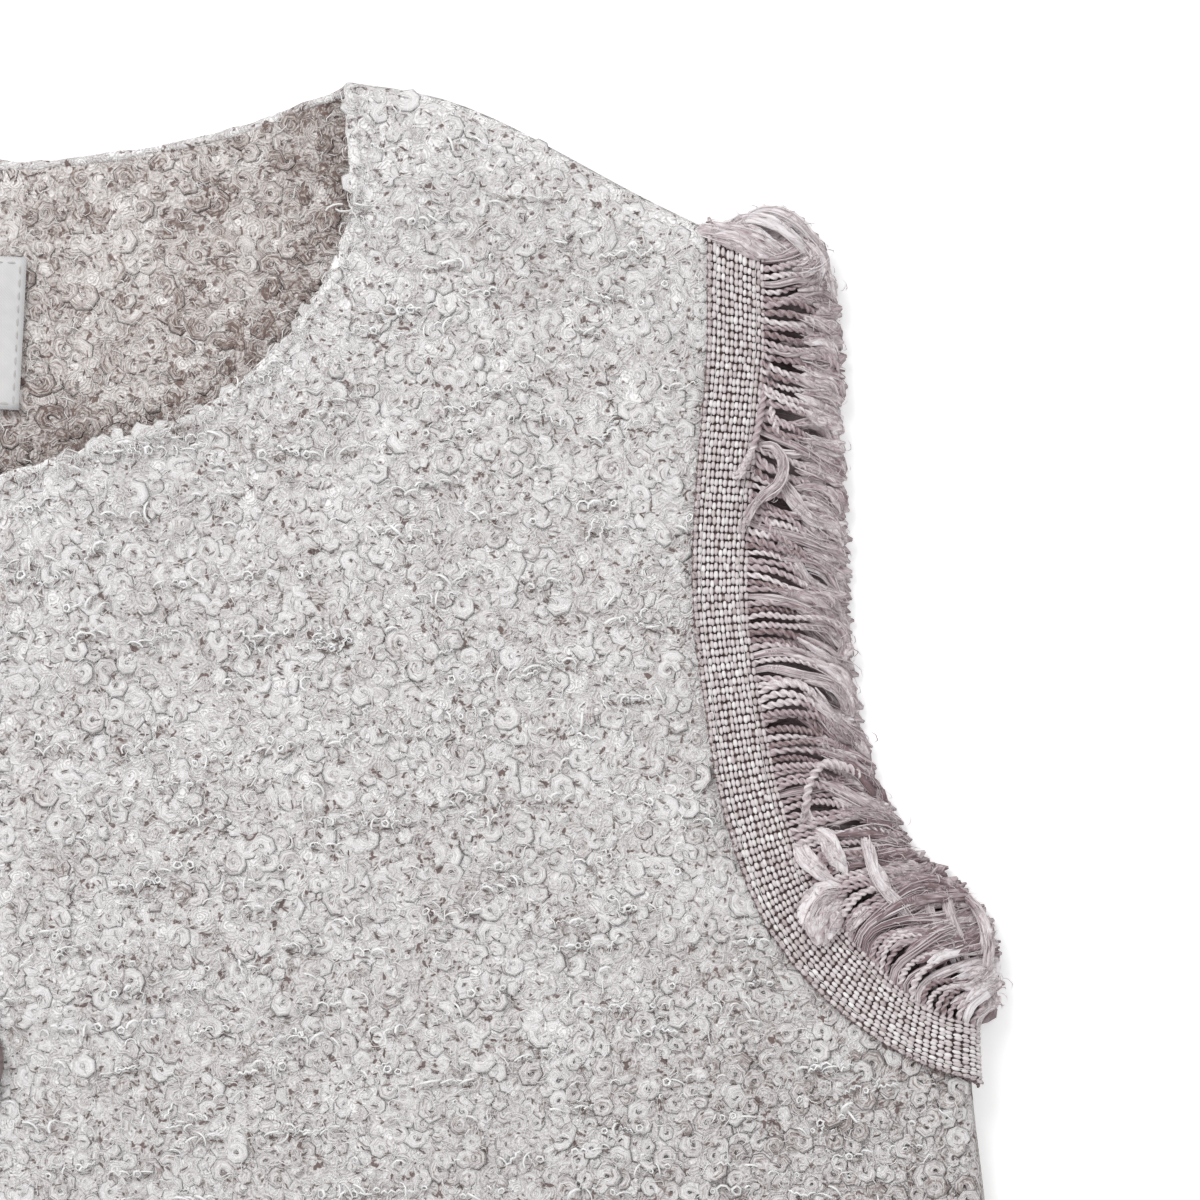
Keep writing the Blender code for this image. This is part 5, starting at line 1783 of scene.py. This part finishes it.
def buttonPiece(node, material):
    low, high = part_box(node)
    middle = (low + high) / 2
    rim = (high.x - low.x) / 2
    thick = high.z - low.z
    bm = bmesh.new()
    # from the shank's foot out to the rim, over it, and in across the dished face
    profile = [(0.0, 0.0), (0.0040, 0.0), (0.0042, 0.0011), (rim - 0.0030, 0.0010), (rim - 0.0010, 0.0016),
               (rim, 0.0026), (rim - 0.0003, thick - 0.0005), (rim - 0.0010, thick - 0.0001),
               (rim - 0.0018, thick), (rim - 0.0026, thick - 0.0003), (rim - 0.0032, thick - 0.0009),
               (rim - 0.0037, thick - 0.0010), (rim - 0.0044, thick - 0.0006), (rim - 0.0070, thick - 0.0007),
               (0.0, thick - 0.0010)]
    verts = [bm.verts.new((r, 0.0, z)) for r, z in profile]
    edges = [bm.edges.new(pair) for pair in zip(verts, verts[1:])]
    bmesh.ops.spin(bm, geom=verts + edges, cent=(0, 0, 0), axis=(0, 0, 1), angle=2 * math.pi,
                   steps=buttonSizes["steps"], use_merge=True)
    bmesh.ops.remove_doubles(bm, verts=bm.verts, dist=1e-6)
    bmesh.ops.recalc_face_normals(bm, faces=bm.faces)
    bmesh.ops.translate(bm, vec=(middle.x, middle.y, low.z), verts=bm.verts)
    return addPiece(node + "_pearl", bm, material)


pearl = buttonMaterial()
buttons = {node: buttonPiece(node, pearl) for node in sorted(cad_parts) if node.startswith("button_")}

print("gilet: floor, lights and camera")
view = {
    "target": (0.1548, 0.1557),   # middle of the view on the surface
    "wide": 0.2857,               # width of cloth that it takes in
    "distance": 1.60,
    "clothTop": 0.009,
    "sky": 0.80,
    "floorGlow": 0.34,            # what the floor adds where it's looked at
    "light": ((-0.55, 1.25, 1.45), 0.7, 15.0),     # place, size, power
    "lightAim": (0.10, 0.12, 0.0),
}


def whiteFloor():
    mat, nodes, shader = newMaterial("whiteFloor", {
        "Base Color": (0.86, 0.86, 0.86, 1.0), "Roughness": 0.9, "Specular IOR Level": 0.0,
        "Emission Color": (1.0, 1.0, 1.0, 1.0)})
    path = addNode(nodes, "ShaderNodeLightPath")
    seen = path.outputs["Is Camera Ray"]
    for ray in ("Is Glossy Ray", "Is Transmission Ray"):
        both = addNode(nodes, "ShaderNodeMath", operation="ADD", use_clamp=True)
        join(seen, both.inputs[0])
        join(path.outputs[ray], both.inputs[1])
        seen = both.outputs["Value"]
    join(addMath(nodes, "MULTIPLY", seen, view["floorGlow"]), shader.inputs["Emission Strength"])
    return mat


bm = bmesh.new()
bmesh.ops.create_grid(bm, x_segments=8, y_segments=8, size=12.0)
floor = addPiece("floor", bm, whiteFloor())
floor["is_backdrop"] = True

world = bpy.data.worlds.new("studio")
bpy.context.scene.world = world
world.use_nodes = True
sky = world.node_tree.nodes["Background"]
sky.inputs["Color"].default_value = (1.0, 1.0, 1.0, 1.0)
sky.inputs["Strength"].default_value = view["sky"]


def softLight(name, place, size, power):
    lamp = bpy.data.lights.new(name, "AREA")
    lamp.shape = "SQUARE"
    lamp.size = size
    lamp.energy = power
    holder = show(bpy.data.objects.new(name, lamp))
    holder.location = place
    aim = Vector(view["lightAim"]) - Vector(place)
    holder.rotation_euler = aim.to_track_quat("-Z", "Y").to_euler()
    return holder


softLight("keyLight", *view["light"])

camera = show(bpy.data.objects.new("camera", bpy.data.cameras.new("camera")))
camera.location = (*view["target"], view["distance"])
camera.data.sensor_width = 36.0
camera.data.lens = 36.0 * (view["distance"] - view["clothTop"]) / view["wide"]
camera.data.clip_start = 0.05
bpy.context.scene.camera = camera
bpy.context.scene.view_settings.view_transform = "Standard"

for name, piece in list(panels.items()) + list(buttons.items()):
    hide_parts(name)
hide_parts("label")
for label in ("left", "right"):
    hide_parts("armhole_band_" + label)
    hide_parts("fringe_" + label)
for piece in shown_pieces():
    if piece.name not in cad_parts:
        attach(piece, "root")

triangles = {piece.name: sum(len(p.vertices) - 2 for p in piece.data.polygons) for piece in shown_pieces()
             if piece.type == "MESH"}
for name in sorted(triangles, key=triangles.get, reverse=True):
    print("triangles", name, triangles[name])
print("triangles in all", sum(triangles.values()))
